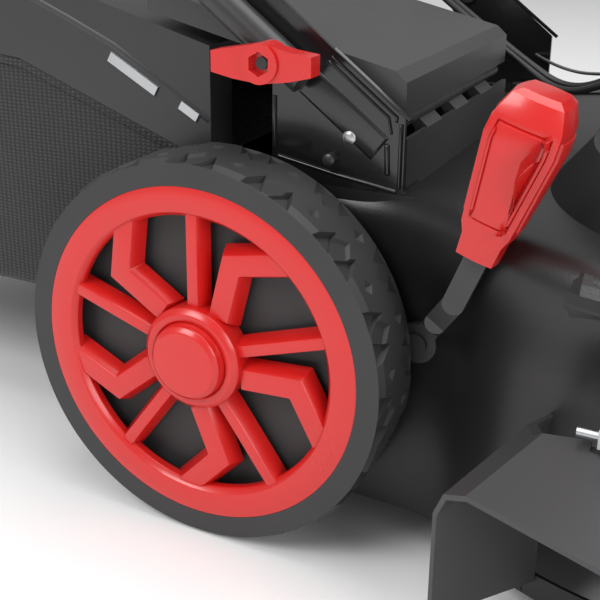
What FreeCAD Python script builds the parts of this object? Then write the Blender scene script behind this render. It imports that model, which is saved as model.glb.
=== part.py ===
"""Push lawn mower: steel deck, height-adjusting axles, four wheels, folding handle, petrol engine,
rear door, side chute and grass bag.  Millimetres.  While modelling, X points forward from the rear
wheels' axle, Y to the machine's left from its middle, and Z up from the ground."""
import FreeCAD, Part
import math
import os

V = FreeCAD.Vector
os.makedirs("parts", exist_ok=True)

# ---------------------------------------------------------------- driving sizes
REAR_R, REAR_W = 140.0, 56.0          # rear wheel radius and width
FRONT_R, FRONT_W = 100.0, 50.0        # front wheel radius and width
TREAD = 18.0                          # tyre depth outside the cover
WHEEL_OUT = 42.0                      # middle of each wheel outside the deck's tail
FRONT_X = 605.0                       # front axle ahead of the rear axle
STUB_R = 7.0                          # wheel stub shafts
BUSH_WALL = 4.0
FIT = 0.3                             # clearance between bodies that only pass
RUN = 0.08                            # running clearance, radial

DECK_X, DECK_LOW_R, DECK_TOP_R = 330.0, 267.0, 288.0   # blade housing: centre, skirt and shoulder radii
DECK_HALF, DECK_Z0, DECK_Z1 = 195.0, 22.0, 255.0       # tail half width, skirt bottom, deck top
FLARE_Z0, FLARE_Z1 = 180.0, 233.0                      # where the wall leans out
REAR_Y, FRONT_Y = DECK_HALF + WHEEL_OUT, DECK_HALF + WHEEL_OUT
LOW_CORNER_X, TOP_CORNER_X = 160.0, 118.0               # where the side walls leave the tail
LOW_ARC_X, TOP_ARC_X = 215.0, 254.0                     # where they reach the housing's circle
DECK_WALL = 2.5
SHOULDER, SHOULDER_STEPS = 20.0, 5                      # rounding of the deck's top edge
BACK_X, TAIL_X, NOSE_X = 60.0, -30.0, FRONT_X + 73.0    # housing back wall, tunnel mouth, nose front
TUNNEL_Z0, TAIL_Z0 = 118.0, 186.0                       # floor of the tunnel inside and at its mouth
NOSE_Z0, NOSE_Z1 = 46.0, 112.0
PLINTH_R0, PLINTH_R1, PLINTH_Z = 130.0, 112.0, 287.0    # raised seat under the engine
HUMP_X, HUMP_Y, HUMP_R0, HUMP_R1 = 362.0, -90.0, 165.0, 140.0   # raised chamber roof at the right
TUNNEL_Y0, TUNNEL_Y1 = -162.0, 40.0                     # discharge tunnel, right and left side
DOOR_Y0, DOOR_Y1 = -187.0, 42.0                         # rear door, right and left side

REAR_HUB = (139.0, 157.0)             # rear arm pivot, x and z
FRONT_HUB = (FRONT_X + 56.0, 75.0)    # front arm pivot
ARM_T, ARM_GAP = 6.0, 4.5             # arm plate, and its gap to the deck's side
ROD_R, PIVOT_R = 8.0, 5.0

BLADE_R, BLADE_W, BLADE_T, BLADE_Z = 248.0, 58.0, 4.0, 50.0
SHAFT_R = 11.0

HANDLE_DEG = 37.5                     # slope of the handle
HANDLE_FOOT = (37.0, 341.0)           # lower clamp bolt, x and z
LOWER_LEN, UPPER_LEN = 650.0, 405.0
TUBE_R, TUBE_WALL = 11.0, 1.6
BOLT_R = 4.0
BRACKET_T = 3.0

BAG_HALF, BAG_X0, BAG_X1 = 185.0, -30.3, -560.0
BAG_Z0 = 120.0


# ---------------------------------------------------------------- helpers
def box(x0, x1, y0, y1, z0, z1):
    return Part.makeBox(abs(x1 - x0), abs(y1 - y0), abs(z1 - z0), V(min(x0, x1), min(y0, y1), min(z0, z1)))


def cyl(start, axis, r, length):
    return Part.makeCylinder(r, length, V(*start), V(*axis))


def ring(start, axis, r_out, r_in, length):
    return cyl(start, axis, r_out, length).cut(cyl(start, axis, r_in, length))


def polygon(points):
    return Part.Face(Part.makePolygon([V(*p) for p in points] + [V(*points[0])]))


def side_plate(outline, y0, y1):
    """An outline of x, z points, as thick as y0 to y1."""
    return polygon([(x, y0, z) for x, z in outline]).extrude(V(0, y1 - y0, 0))


def flat_plate(outline, z0, z1):
    return polygon([(x, y, z0) for x, y in outline]).extrude(V(0, 0, z1 - z0))


def cross_plate(outline, x0, x1):
    return polygon([(x0, y, z) for y, z in outline]).extrude(V(x1 - x0, 0, 0))


def fuse(shapes):
    result = shapes[0]
    for shape in shapes[1:]:
        result = result.fuse(shape)
    return result.removeSplitter()


def turned(profile, centre=(0, 0, 0)):
    """A solid of revolution about Z from r, z points."""
    face = polygon([(r, 0, z) for r, z in profile])
    solid = face.revolve(V(0, 0, 0), V(0, 0, 1), 360)
    solid.translate(V(*centre))
    return solid


def round_path(points, radius):
    """Straight runs joined by tangent arcs of one radius."""
    pts = [V(*p) for p in points]
    edges = []
    start = pts[0]
    for before, corner, after in zip(pts, pts[1:], pts[2:]):
        a = (before - corner).normalize()
        b = (after - corner).normalize()
        half = a.getAngle(b) / 2
        if math.pi / 2 - half < 0.005:
            continue
        trim = radius / math.tan(half)
        mid = corner + (a + b).normalize() * (radius / math.sin(half) - radius)
        edges.append(Part.LineSegment(start, corner + a * trim).toShape())
        edges.append(Part.Arc(corner + a * trim, mid, corner + b * trim).toShape())
        start = corner + b * trim
    edges.append(Part.LineSegment(start, pts[-1]).toShape())
    return Part.Wire(edges)


def swept(wire, r):
    start = wire.Edges[0].valueAt(wire.Edges[0].FirstParameter)
    along = wire.Edges[0].tangentAt(wire.Edges[0].FirstParameter)
    circle = Part.Wire([Part.Circle(start, along, r).toShape()])
    return wire.makePipeShell([circle], True, True)


def pipe(points, radius, r_out, r_in=0.0):
    wire = round_path(points, radius)
    solid = swept(wire, r_out)
    return solid.cut(swept(wire, r_in)) if r_in else solid


def cord(points, r, name):
    """A tube along straight runs joined by arcs as large as the runs allow."""
    pts = [V(*p) for p in points]
    edges, radii = [], []
    start = pts[0]
    for before, corner, after in zip(pts, pts[1:], pts[2:]):
        a, b = before - corner, after - corner
        run = min(a.Length, b.Length)
        a, b = a.normalize(), b.normalize()
        half = a.getAngle(b) / 2
        if math.pi / 2 - half < 0.005:
            continue
        trim = 0.45 * run
        radius = trim * math.tan(half)
        radii.append(round(radius, 1))
        mid = corner + (a + b).normalize() * (radius / math.sin(half) - radius)
        edges.append(Part.LineSegment(start, corner + a * trim).toShape())
        edges.append(Part.Arc(corner + a * trim, mid, corner + b * trim).toShape())
        start = corner + b * trim
    edges.append(Part.LineSegment(start, pts[-1]).toShape())
    wire = Part.Wire(edges)
    solid = swept(wire, r)
    print(name, "length", round(wire.Length, 1), "radii", radii,
          "volume over section times length", round(solid.Volume / (math.pi * r * r * wire.Length), 4))
    return solid


def mirrored(shape):
    return shape.mirror(V(0, 0, 0), V(0, 1, 0))


NODES = {}


def keep(name, *solids):
    NODES[name] = solids[0] if len(solids) == 1 else Part.makeCompound(list(solids))


# ---------------------------------------------------------------- deck
def deck_outline(z, r, half, back, corner_x, arc_x):
    """Back wall, two side walls, two leaning walls and the round front."""
    y = math.sqrt(r * r - (DECK_X - arc_x) ** 2)
    arc = Part.Arc(V(arc_x, -y, z), V(DECK_X + r, 0, z), V(arc_x, y, z)).toShape()
    lines = [V(arc_x, y, z), V(corner_x, half, z), V(back, half, z), V(back, -half, z), V(corner_x, -half, z),
             V(arc_x, -y, z)]
    return Part.Wire([arc] + [Part.LineSegment(a, b).toShape() for a, b in zip(lines, lines[1:])])


def deck_body(o):
    """The deck's outer shape, or with o = the wall, the hollow inside it."""
    half, low, top, round_r = DECK_HALF - o, DECK_LOW_R - o, DECK_TOP_R - o, SHOULDER - o
    bottom = DECK_Z0 - (5 if o else 0)

    def low_outline(z):
        return deck_outline(z, low, half, BACK_X + o, LOW_CORNER_X, LOW_ARC_X)

    def top_outline(z, inset):
        return deck_outline(z, top - inset, half - inset, BACK_X + o, TOP_CORNER_X + inset / 3, TOP_ARC_X)

    skirt = Part.Face(low_outline(bottom)).extrude(V(0, 0, FLARE_Z0 - bottom))
    flare = Part.makeLoft([low_outline(FLARE_Z0), top_outline(FLARE_Z1, 0)], True, True)
    rings = [top_outline(FLARE_Z1, 0)]
    for k in range(SHOULDER_STEPS + 1):
        a = math.radians(90 * k / SHOULDER_STEPS)
        rings.append(top_outline(DECK_Z1 - o - round_r * (1 - math.sin(a)), round_r * (1 - math.cos(a))))
    body = fuse([skirt, flare, Part.makeLoft(rings, True, True)])
    mouth = TAIL_X - (5 if o else 0)
    tail = side_plate([(BACK_X + 70, TUNNEL_Z0 + o), (BACK_X, TUNNEL_Z0 + o), (mouth, TAIL_Z0 + o),
                       (mouth, DECK_Z1 - o), (BACK_X + 70, DECK_Z1 - o)], -half, half)
    nose_low = NOSE_Z0 - (5 if o else 0)
    nose = box(DECK_X + DECK_LOW_R - 80, NOSE_X - o, -half, half, nose_low, NOSE_Z1 - o)
    raised = []
    for x, y, r0, r1 in ((DECK_X, 0, PLINTH_R0, PLINTH_R1), (HUMP_X, HUMP_Y, HUMP_R0, HUMP_R1)):
        raised.append(turned([(0, DECK_Z1 - o - 1), (r0 - o, DECK_Z1 - o - 1), (r0 - o, DECK_Z1 - o),
                              (r1 - o, PLINTH_Z - o), (0, PLINTH_Z - o)], (x, y, 0)))
    return fuse([body, tail, nose] + raised)


SIDE_X0, SIDE_X1, SIDE_Z0, SIDE_Z1 = 232.0, 420.0, 40.0, 128.0     # side discharge hole
ENGINE_BOLTS = [(DECK_X + 62 * math.cos(math.radians(d)), 62 * math.sin(math.radians(d))) for d in (30, 150, 270)]


def make_deck():
    shell = deck_body(0).cut(deck_body(DECK_WALL))
    shell = shell.cut(box(TAIL_X - 1, 112, TUNNEL_Y0, TUNNEL_Y1, DECK_Z1 - 8, DECK_Z1 + 1))
    shell = shell.cut(cyl((DECK_X, 0, PLINTH_Z - 10), (0, 0, 1), 30, 20))
    shell = shell.cut(box(SIDE_X0, SIDE_X1, -DECK_TOP_R - 5, -180, SIDE_Z0, SIDE_Z1))
    for (x, z), r in ((REAR_HUB, PIVOT_R), (FRONT_HUB, ROD_R)):
        shell = shell.cut(cyl((x, -300, z), (0, 1, 0), r + FIT, 600))
    for x, y in ENGINE_BOLTS:
        shell = shell.cut(cyl((x, y, PLINTH_Z - 10), (0, 0, 1), BOLT_R + FIT, 20))
    for x in FOOT_BOLTS:
        for y in (-FOOT_BOLT_Y, FOOT_BOLT_Y):
            shell = shell.cut(cyl((x, y, DECK_Z1 - 10), (0, 0, 1), BOLT_R + FIT, 20))
    keep("deck_shell", shell)


# ---------------------------------------------------------------- handle brackets
FLANGE = 30.0
FOOT_BOLTS, FOOT_BOLT_Y = (46.0, 98.0), DECK_HALF - 20.0
UP = (-math.cos(math.radians(HANDLE_DEG)), math.sin(math.radians(HANDLE_DEG)))


def along(foot, s, side=0.0):
    """A point s along the handle from foot, and side above its line, as x, z."""
    return (foot[0] + UP[0] * s + UP[1] * side, foot[1] + UP[1] * s - UP[0] * side)


def make_brackets():
    fx, fz = HANDLE_FOOT
    base = DECK_Z1
    tip_hi, tip_lo = along(HANDLE_FOOT, 62, 26), along(HANDLE_FOOT, 62, -9)
    outline = [(25, base), (121, base), (121, 306), tip_hi, tip_lo, (25, 321)]
    plate = side_plate(outline, -DECK_HALF, -DECK_HALF + BRACKET_T)
    flange = box(25, 121, -DECK_HALF, -DECK_HALF + FLANGE, base, base + BRACKET_T)
    plate = plate.fuse(flange)
    plate = plate.cut(cyl((fx, -DECK_HALF - 5, fz), (0, 1, 0), BOLT_R + FIT, 12))
    for x in FOOT_BOLTS:
        plate = plate.cut(cyl((x, -FOOT_BOLT_Y, base - 5), (0, 0, 1), BOLT_R + FIT, 15))
    plate = plate.removeSplitter()
    keep("handle_bracket_right", plate)
    keep("handle_bracket_left", mirrored(plate))


def bolt(point, direction, r, grip, head_r, head_h, nut_r=0.0, nut_h=0.0):
    """Head at point, shank along direction for grip, and a nut on its end."""
    d = V(*direction)
    p = V(*point)
    solid = Part.makeCylinder(head_r, head_h, p - d * head_h, d)
    solid = solid.fuse(Part.makeCylinder(r, grip + nut_h + (2 if nut_h else 0), p, d))
    if nut_h:
        solid = solid.fuse(hexagon(p + d * grip, d, nut_r, nut_h))
    return solid.removeSplitter()


def hexagon(point, direction, r, h):
    axis = V(*direction) if not isinstance(direction, V) else direction
    side = V(0, 0, 1) if abs(axis.z) < 0.9 else V(1, 0, 0)
    cross = axis.cross(side)
    corners = [point + side * (r * math.cos(k * math.pi / 3)) + cross * (r * math.sin(k * math.pi / 3))
               for k in range(6)]
    return Part.Face(Part.makePolygon(corners + [corners[0]])).extrude(axis * h)


def make_foot_bolts():
    solids = []
    for x in FOOT_BOLTS:
        for y in (-FOOT_BOLT_Y, FOOT_BOLT_Y):
            solids.append(bolt((x, y, DECK_Z1 + BRACKET_T), (0, 0, -1), BOLT_R, BRACKET_T + DECK_WALL,
                               7, 4, 7, 5))
    for x, y in ENGINE_BOLTS:
        solids.append(bolt((x, y, PLINTH_Z - DECK_WALL), (0, 0, 1), 4, 18, 7, 4))
    keep("deck_bolts", *solids)


def make_pivot_bolts():
    """Shoulder bolts that the axle arms turn on, with a nut inside the deck wall."""
    solids = []
    reach = ARM_GAP + ARM_T + FIT
    for s in (-1, 1):
        y = s * (DECK_HALF + reach)
        solids.append(bolt((REAR_HUB[0], y, REAR_HUB[1]), (0, -s, 0), PIVOT_R, reach + DECK_WALL + FIT,
                           8, 3, 9, 6))
    keep("axle_pivot_bolts", *solids)


# ---------------------------------------------------------------- axles and height levers
def arm_y(s, inner=True):
    return s * (DECK_HALF + ARM_GAP + (0 if inner else ARM_T))


def make_axle(name, hub, wheel, wheel_y, wheel_w, lever_pts, rod):
    """Two arms, the cross rod that joins them, two stubs and the lever bar, welded together."""
    hx, hz = hub
    wx, wz = wheel
    parts = []
    length = math.hypot(wx - hx, wz - hz)
    ux, uz = (wx - hx) / length, (wz - hz) / length
    for s in (-1, 1):
        y0, y1 = sorted((arm_y(s), arm_y(s, False)))
        arm = side_plate([(hx - uz * 11, hz + ux * 11), (wx - uz * 11, wz + ux * 11),
                          (wx + uz * 11, wz - ux * 11), (hx + uz * 11, hz - ux * 11)], y0, y1)
        for x, z in (hub, wheel):
            arm = arm.fuse(cyl((x, y0, z), (0, 1, 0), 14, ARM_T))
        parts.append(arm)
        tip = s * (wheel_y + wheel_w / 2 - 6)
        parts.append(cyl((wx, min(tip, arm_y(s)), wz), (0, 1, 0), STUB_R, abs(tip - arm_y(s))))
    parts.append(cyl((rod[0], arm_y(-1), rod[1]), (0, 1, 0), ROD_R, 2 * arm_y(1)))
    for a, b in zip(lever_pts, lever_pts[1:]):
        parts.append(bar(a, b, 14, ARM_T))
    axle = fuse(parts)
    if rod != hub:
        axle = axle.cut(cyl((hx, -300, hz), (0, 1, 0), PIVOT_R + RUN, 600))
    keep(name + "_axle", axle)
    fittings = []
    for s in (-1, 1):
        inner = s * (wheel_y - wheel_w / 2 + 2)
        outer = s * (wheel_y + wheel_w / 2 - 20)
        y0, y1 = sorted((inner, outer))
        fittings.append(ring((wx, y0, wz), (0, 1, 0), STUB_R + BUSH_WALL, STUB_R + 0.03, y1 - y0))
        nut_y = outer + FIT if s > 0 else outer - 7 - FIT
        fittings.append(hexagon(V(wx, nut_y, wz), (0, 1, 0), 11, 7).cut(
            cyl((wx, nut_y - 1, wz), (0, 1, 0), STUB_R + 0.03, 9)))
    keep(name + "_axle_bushes_and_nuts", *fittings)


def bar(a, b, width, thick):
    """A flat bar from a to b, width in the X-Z plane, with rounded ends."""
    pa, pb = V(*a), V(*b)
    flat = V(pb.x - pa.x, 0, pb.z - pa.z)
    across = V(-flat.z, 0, flat.x).normalize() * (width / 2)
    y = V(0, thick / 2, 0)
    ends = []
    for p in (pa, pb):
        corners = [p + across + y, p - across + y, p - across - y, p + across - y]
        ends.append(Part.makePolygon(corners + [corners[0]]))
    solid = Part.makeLoft(ends, True, True)
    for p in (pa, pb):
        solid = solid.fuse(Part.makeCylinder(width / 2, thick, p - y, V(0, 1, 0)))
    return solid


ARM_MID = DECK_HALF + ARM_GAP + ARM_T / 2
REAR_LEVER = [(REAR_HUB[0] + x, -ARM_MID - out, REAR_HUB[1] + z) for x, out, z in
              ((0, 0, 0), (9, 0, 12), (22, 29, 31), (36, 40, 51), (51, 50, 86), (70, 50, 146))]
FRONT_LEVER = [(FRONT_HUB[0], -ARM_MID, FRONT_HUB[1]), (FRONT_HUB[0] + 47, -ARM_MID, FRONT_HUB[1] + 88),
               (FRONT_HUB[0] + 75, -ARM_MID, FRONT_HUB[1] + 141)]


def grip(foot, top, length, w0, w1, bore_w, bore_t):
    """A tapered moulded grip on the bar's last run, with a round neck at its foot."""
    a, b = V(*foot), V(*top)
    d = (b - a).normalize()
    neck = Part.makeCylinder(13, 18, a, d)
    side = V(0, 1, 0)
    across = d.cross(side).normalize()
    sections = []
    for share, half_x, half_y in ((0.12, w0, w0), (0.3, w0 + 2, w0 + 4), (0.75, w1, w1 + 2),
                                  (0.93, w1 - 2, w1), (1.0, w1 - 7, w1 - 6)):
        c = a + d * (length * share)
        cut = 0.62
        corner = []
        for sx, sy in ((1, cut), (cut, 1), (-cut, 1), (-1, cut), (-1, -cut), (-cut, -1), (cut, -1), (1, -cut)):
            corner.append(c + across * (half_x * sx) + side * (half_y * sy))
        sections.append(Part.makePolygon(corner + [corner[0]]))
    body = Part.makeLoft(sections, True, True)
    slot = bar_slot(a - d * 5, d, across, side, length * 0.7, bore_w, bore_t)
    return body.fuse(neck).cut(slot).removeSplitter()


def bar_slot(start, d, across, side, length, width, thick):
    corners = [start + across * (sx * width / 2) + side * (sy * thick / 2)
               for sx, sy in ((1, 1), (-1, 1), (-1, -1), (1, -1))]
    return Part.Face(Part.makePolygon(corners + [corners[0]])).extrude(d * length)


def make_grips():
    for name, pts, length, gap in (("rear_lever_grip", REAR_LEVER, 112, 3), ("front_lever_grip", FRONT_LEVER, 98, 9)):
        a, b = V(*pts[-2]), V(*pts[-1])
        d = (b - a).normalize()
        keep(name, grip(tuple(a + d * gap), tuple(b + d * 40), length, 17, 23, 14.2, ARM_T + 0.2))


def make_quadrants():
    """Plates on the deck's side with the holes that hold each lever at its height."""
    solids = []
    for hub, turn, radius, first in ((REAR_HUB, REAR_TURN, 40.0, 120.0), (FRONT_HUB, FRONT_TURN, 24.0, 30.0)):
        hx, hz = hub
        holes = [(hx + radius * math.cos(math.radians(first + turn * k / 4)),
                  hz + radius * math.sin(math.radians(first + turn * k / 4))) for k in range(5)]
        x0, x1 = min(h[0] for h in holes) - 6, max(h[0] for h in holes) + 6
        z0, z1 = min(h[1] for h in holes) - 6, max(h[1] for h in holes) + 6
        plate = box(x0, x1, -DECK_HALF - 2, -DECK_HALF, z0, z1)
        plate = plate.cut(cyl((hx, -DECK_HALF - 3, hz), (0, 1, 0), ROD_R + FIT, 4))
        for x, z in holes:
            plate = plate.cut(cyl((x, -DECK_HALF - 3, z), (0, 1, 0), 2, 4))
        solids.append(plate)
    keep("height_quadrants", *solids)


TRAVEL = 50.0                          # how far the deck lifts


def turn_for(hub, wheel):
    """Degrees an arm turns so that its wheel drops by the travel."""
    length = math.hypot(wheel[0] - hub[0], wheel[1] - hub[1])
    a0 = math.asin((wheel[1] - hub[1]) / length)
    a1 = math.asin((wheel[1] - hub[1] - TRAVEL) / length)
    return math.degrees(a0 - a1)


REAR_TURN = turn_for(REAR_HUB, (0.0, REAR_R))
FRONT_TURN = turn_for(FRONT_HUB, (FRONT_X, FRONT_R))


# ---------------------------------------------------------------- wheels
def wheel_parts(radius, width):
    """Tyre, core and cover, upright on the Y axis, outer face towards -Y, middle at the origin."""
    out = -width / 2
    rim = radius - TREAD
    tyre = ring((0, out, 0), (0, 1, 0), radius, rim, width)
    tyre = tyre.makeChamfer(3, [e for e in tyre.Edges if abs(e.BoundBox.XLength - 2 * radius) < 1])
    web_y = out + 20
    bore = STUB_R + BUSH_WALL + RUN
    core = ring((0, out + 5, 0), (0, 1, 0), rim, rim - 6, width - 7)
    core = core.fuse(ring((0, web_y, 0), (0, 1, 0), rim - 5, bore, 4))
    core = core.fuse(ring((0, web_y, 0), (0, 1, 0), 24, bore, width / 2 - web_y - 2))
    cover = ring((0, out, 0), (0, 1, 0), rim, rim - 22, 5)
    hub = radius * 0.25
    cover = cover.fuse(cyl((0, out - 1, 0), (0, 1, 0), hub, 5))
    cover = cover.fuse(ring((0, out + 4, 0), (0, 1, 0), hub, hub - 5, 15.6))
    cover = cover.fuse(cyl((0, out - 9, 0), (0, 1, 0), hub - 8, 9))
    for k in range(5):
        turn = math.radians(72 * k)
        cover = cover.fuse(spoke([(hub - 4, 90), (rim - 16, 90)], 9, out, turn, 8))
        cover = cover.fuse(spoke([(hub - 4, 130), (radius * 0.557, 139.6), (rim - 14, 120)], 14, out, turn, 8))
    return tyre, core.removeSplitter(), cover.removeSplitter()


def spoke(polar, width, out, turn, depth):
    pts = [(r * math.cos(math.radians(a) + turn), r * math.sin(math.radians(a) + turn)) for r, a in polar]
    solid = None
    for a, b in zip(pts, pts[1:]):
        piece = bar((a[0], out + 1 + depth / 2, a[1]), (b[0], out + 1 + depth / 2, b[1]), width, depth)
        solid = piece if solid is None else solid.fuse(piece)
    return solid


def make_wheels():
    for end, x, y, r, w in (("rear", 0.0, REAR_Y, REAR_R, REAR_W), ("front", FRONT_X, FRONT_Y, FRONT_R, FRONT_W)):
        pieces = wheel_parts(r, w)
        for side, s in (("right", -1), ("left", 1)):
            for piece, what in zip(pieces, ("tyre", "core", "cover")):
                shape = piece.copy() if s < 0 else mirrored(piece)
                shape.translate(V(x, s * y, r))
                keep(end + "_" + side + "_wheel_" + what, shape)


# ---------------------------------------------------------------- handle
TUBE_Y = DECK_HALF + FIT + TUBE_R
UPPER_Y = TUBE_Y - 2 * TUBE_R - FIT
JOINT_S = LOWER_LEN - 18.0
FOLD = along(HANDLE_FOOT, LOWER_LEN - 18.0)
BRACE_S = 300.0
BAIL_S = UPPER_LEN - 112.0


def handle_point(s, y, side=0.0):
    x, z = along(HANDLE_FOOT, s, side)
    return (x, y, z)


def make_lower_handle():
    parts = []
    for s in (-1, 1):
        y = s * TUBE_Y
        tube = pipe_straight(handle_point(-22, y), handle_point(LOWER_LEN, y), TUBE_R, TUBE_R - TUBE_WALL)
        for spot in (0.0, JOINT_S):
            x, z = along(HANDLE_FOOT, spot)
            sleeve = cyl((x, y - TUBE_R + 1, z), (0, 1, 0), BOLT_R + 3, 2 * TUBE_R - 2)
            tube = tube.fuse(sleeve).cut(cyl((x, y - 20, z), (0, 1, 0), BOLT_R + RUN, 40))
        parts.append(tube)
    brace_end = V(*handle_point(BRACE_S, -TUBE_Y + TUBE_R - 2))
    brace = Part.makeCylinder(8, 2 * TUBE_Y - 2 * TUBE_R + 4, brace_end, V(0, 1, 0))
    parts.append(brace)
    keep("lower_handle", fuse(parts))


def pipe_straight(a, b, r_out, r_in):
    pa, pb = V(*a), V(*b)
    length = (pb - pa).Length
    return Part.makeCylinder(r_out, length, pa, pb - pa).cut(Part.makeCylinder(r_in, length, pa, pb - pa))


def make_upper_handle():
    start, end = JOINT_S - 18, JOINT_S + UPPER_LEN
    pts = [handle_point(start, -UPPER_Y), handle_point(end, -UPPER_Y), handle_point(end, UPPER_Y),
           handle_point(start, UPPER_Y)]
    tube = pipe(pts, 55, TUBE_R, TUBE_R - TUBE_WALL)
    for s in (-1, 1):
        sleeve = cyl((FOLD[0], s * UPPER_Y - TUBE_R + 1, FOLD[1]), (0, 1, 0), BOLT_R + 3, 2 * TUBE_R - 2)
        tube = tube.fuse(sleeve).cut(cyl((FOLD[0], s * UPPER_Y - 20, FOLD[1]), (0, 1, 0), BOLT_R + RUN, 40))
        x, z = along(HANDLE_FOOT, JOINT_S + BAIL_S)
        tube = tube.cut(cyl((x, s * UPPER_Y - 20, z), (0, 1, 0), 4 + RUN, 40))
    keep("upper_handle", tube.removeSplitter())


def make_handle_bolts():
    grip_len = TUBE_Y + TUBE_R - (DECK_HALF - BRACKET_T)
    solids = []
    for s in (-1, 1):
        solids.append(bolt((HANDLE_FOOT[0], s * (DECK_HALF - BRACKET_T), HANDLE_FOOT[1]), (0, s, 0), BOLT_R,
                           grip_len + KNOB_T - 4, 8, 3))
    keep("lower_handle_bolts", *solids)
    solids = []
    for s in (-1, 1):
        solids.append(bolt((FOLD[0], s * (UPPER_Y - TUBE_R - FIT), FOLD[1]), (0, s, 0), BOLT_R,
                           TUBE_Y + TUBE_R - UPPER_Y + TUBE_R + FIT + KNOB_T - 4, 8, 3))
    keep("fold_bolts_and_rope_guide", *solids, make_starter())


KNOB_T = 20.0


def wing_knob(x, y, z, s):
    outline = [(-36, -8), (-36, 6), (-20, 9), (0, 13), (20, 9),
               (36, 7), (36, -6), (20, -10), (0, -13), (-20, -11)]
    y0 = y + s * FIT
    plate = side_plate([(x + a, z + b) for a, b in outline], y0 + s * 5, y0 + s * (KNOB_T - 2))
    boss = cyl((x, min(y0, y0 + s * KNOB_T), z), (0, 1, 0), 13, KNOB_T)
    hole = cyl((x, min(y0, y0 + s * 30) - 1, z), (0, 1, 0), BOLT_R + RUN, 32)
    recess = hexagon(V(x, y0 + s * (KNOB_T - 6), z), (0, s, 0), 8, 10)
    return plate.fuse(boss).cut(hole).cut(recess).removeSplitter()


def make_knobs():
    y = TUBE_Y + TUBE_R
    for side, s in (("right", -1), ("left", 1)):
        keep("lower_knob_" + side, wing_knob(HANDLE_FOOT[0], s * y, HANDLE_FOOT[1], s))
        keep("upper_knob_" + side, wing_knob(FOLD[0], s * y, FOLD[1], s))


BAIL_LIFT = 28.0


def make_bail():
    """A bent rod that turns in the upper tubes and closes onto the top bar; it stands open at rest."""
    px, pz = along(HANDLE_FOOT, JOINT_S + BAIL_S)
    y = UPPER_Y - TUBE_R - 14
    reach = UPPER_LEN - BAIL_S - 2
    a = math.radians(180 - HANDLE_DEG - BAIL_LIFT)
    tip = (px + reach * math.cos(a), pz + reach * math.sin(a))
    pts = [(px, -UPPER_Y - 8, pz), (px, -y, pz), (tip[0], -y, tip[1]), (tip[0], y, tip[1]), (px, y, pz),
           (px, UPPER_Y + 8, pz)]
    keep("bail_lever", pipe(pts, 9, 4))


# ---------------------------------------------------------------- engine
CASE_R = 78.0
SHROUD_R = 122.0
CASE_Z1 = PLINTH_Z + 92
SHROUD_Z0, SHROUD_Z1 = PLINTH_Z + 104, PLINTH_Z + 168
RECOIL_Z1 = SHROUD_Z1 + 34
HEAD_X = DECK_X + 128.0


SPOUT = (DECK_X - 40, -55, CASE_Z1 - 30)
COVER_ARMS = (68, 180, 222)            # directions of the arms that carry the blower housing


def make_engine():
    bore = SHAFT_R + RUN
    case = cyl((DECK_X, 0, PLINTH_Z), (0, 0, 1), CASE_R, CASE_Z1 - PLINTH_Z)
    case = case.fuse(box(DECK_X + 40, HEAD_X, -38, 38, PLINTH_Z + 8, CASE_Z1 - 8))
    for k in range(7):
        x = DECK_X + 82 + 7 * k
        case = case.fuse(box(x, x + 3, -56, 56, PLINTH_Z + 2, CASE_Z1))
    for degrees in COVER_ARMS:
        arm = box(CASE_R - 15, SHROUD_R, -6, 6, CASE_Z1 - 8, SHROUD_Z0)
        arm.rotate(V(0, 0, 0), V(0, 0, 1), degrees)
        arm.translate(V(DECK_X, 0, 0))
        case = case.fuse(arm)
    for x, y in ENGINE_BOLTS:
        case = case.cut(cyl((x, y, PLINTH_Z - 1), (0, 0, 1), 4, 22))
    case = case.cut(cyl((DECK_X, 0, PLINTH_Z - 1), (0, 0, 1), bore, 200))
    spout = cyl(SPOUT, (-0.3, -0.95, 0), 14, 34)
    case = case.fuse(spout).cut(cyl(SPOUT, (-0.3, -0.95, 0), 9, 40))
    keep("engine_block", case.removeSplitter())


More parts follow.
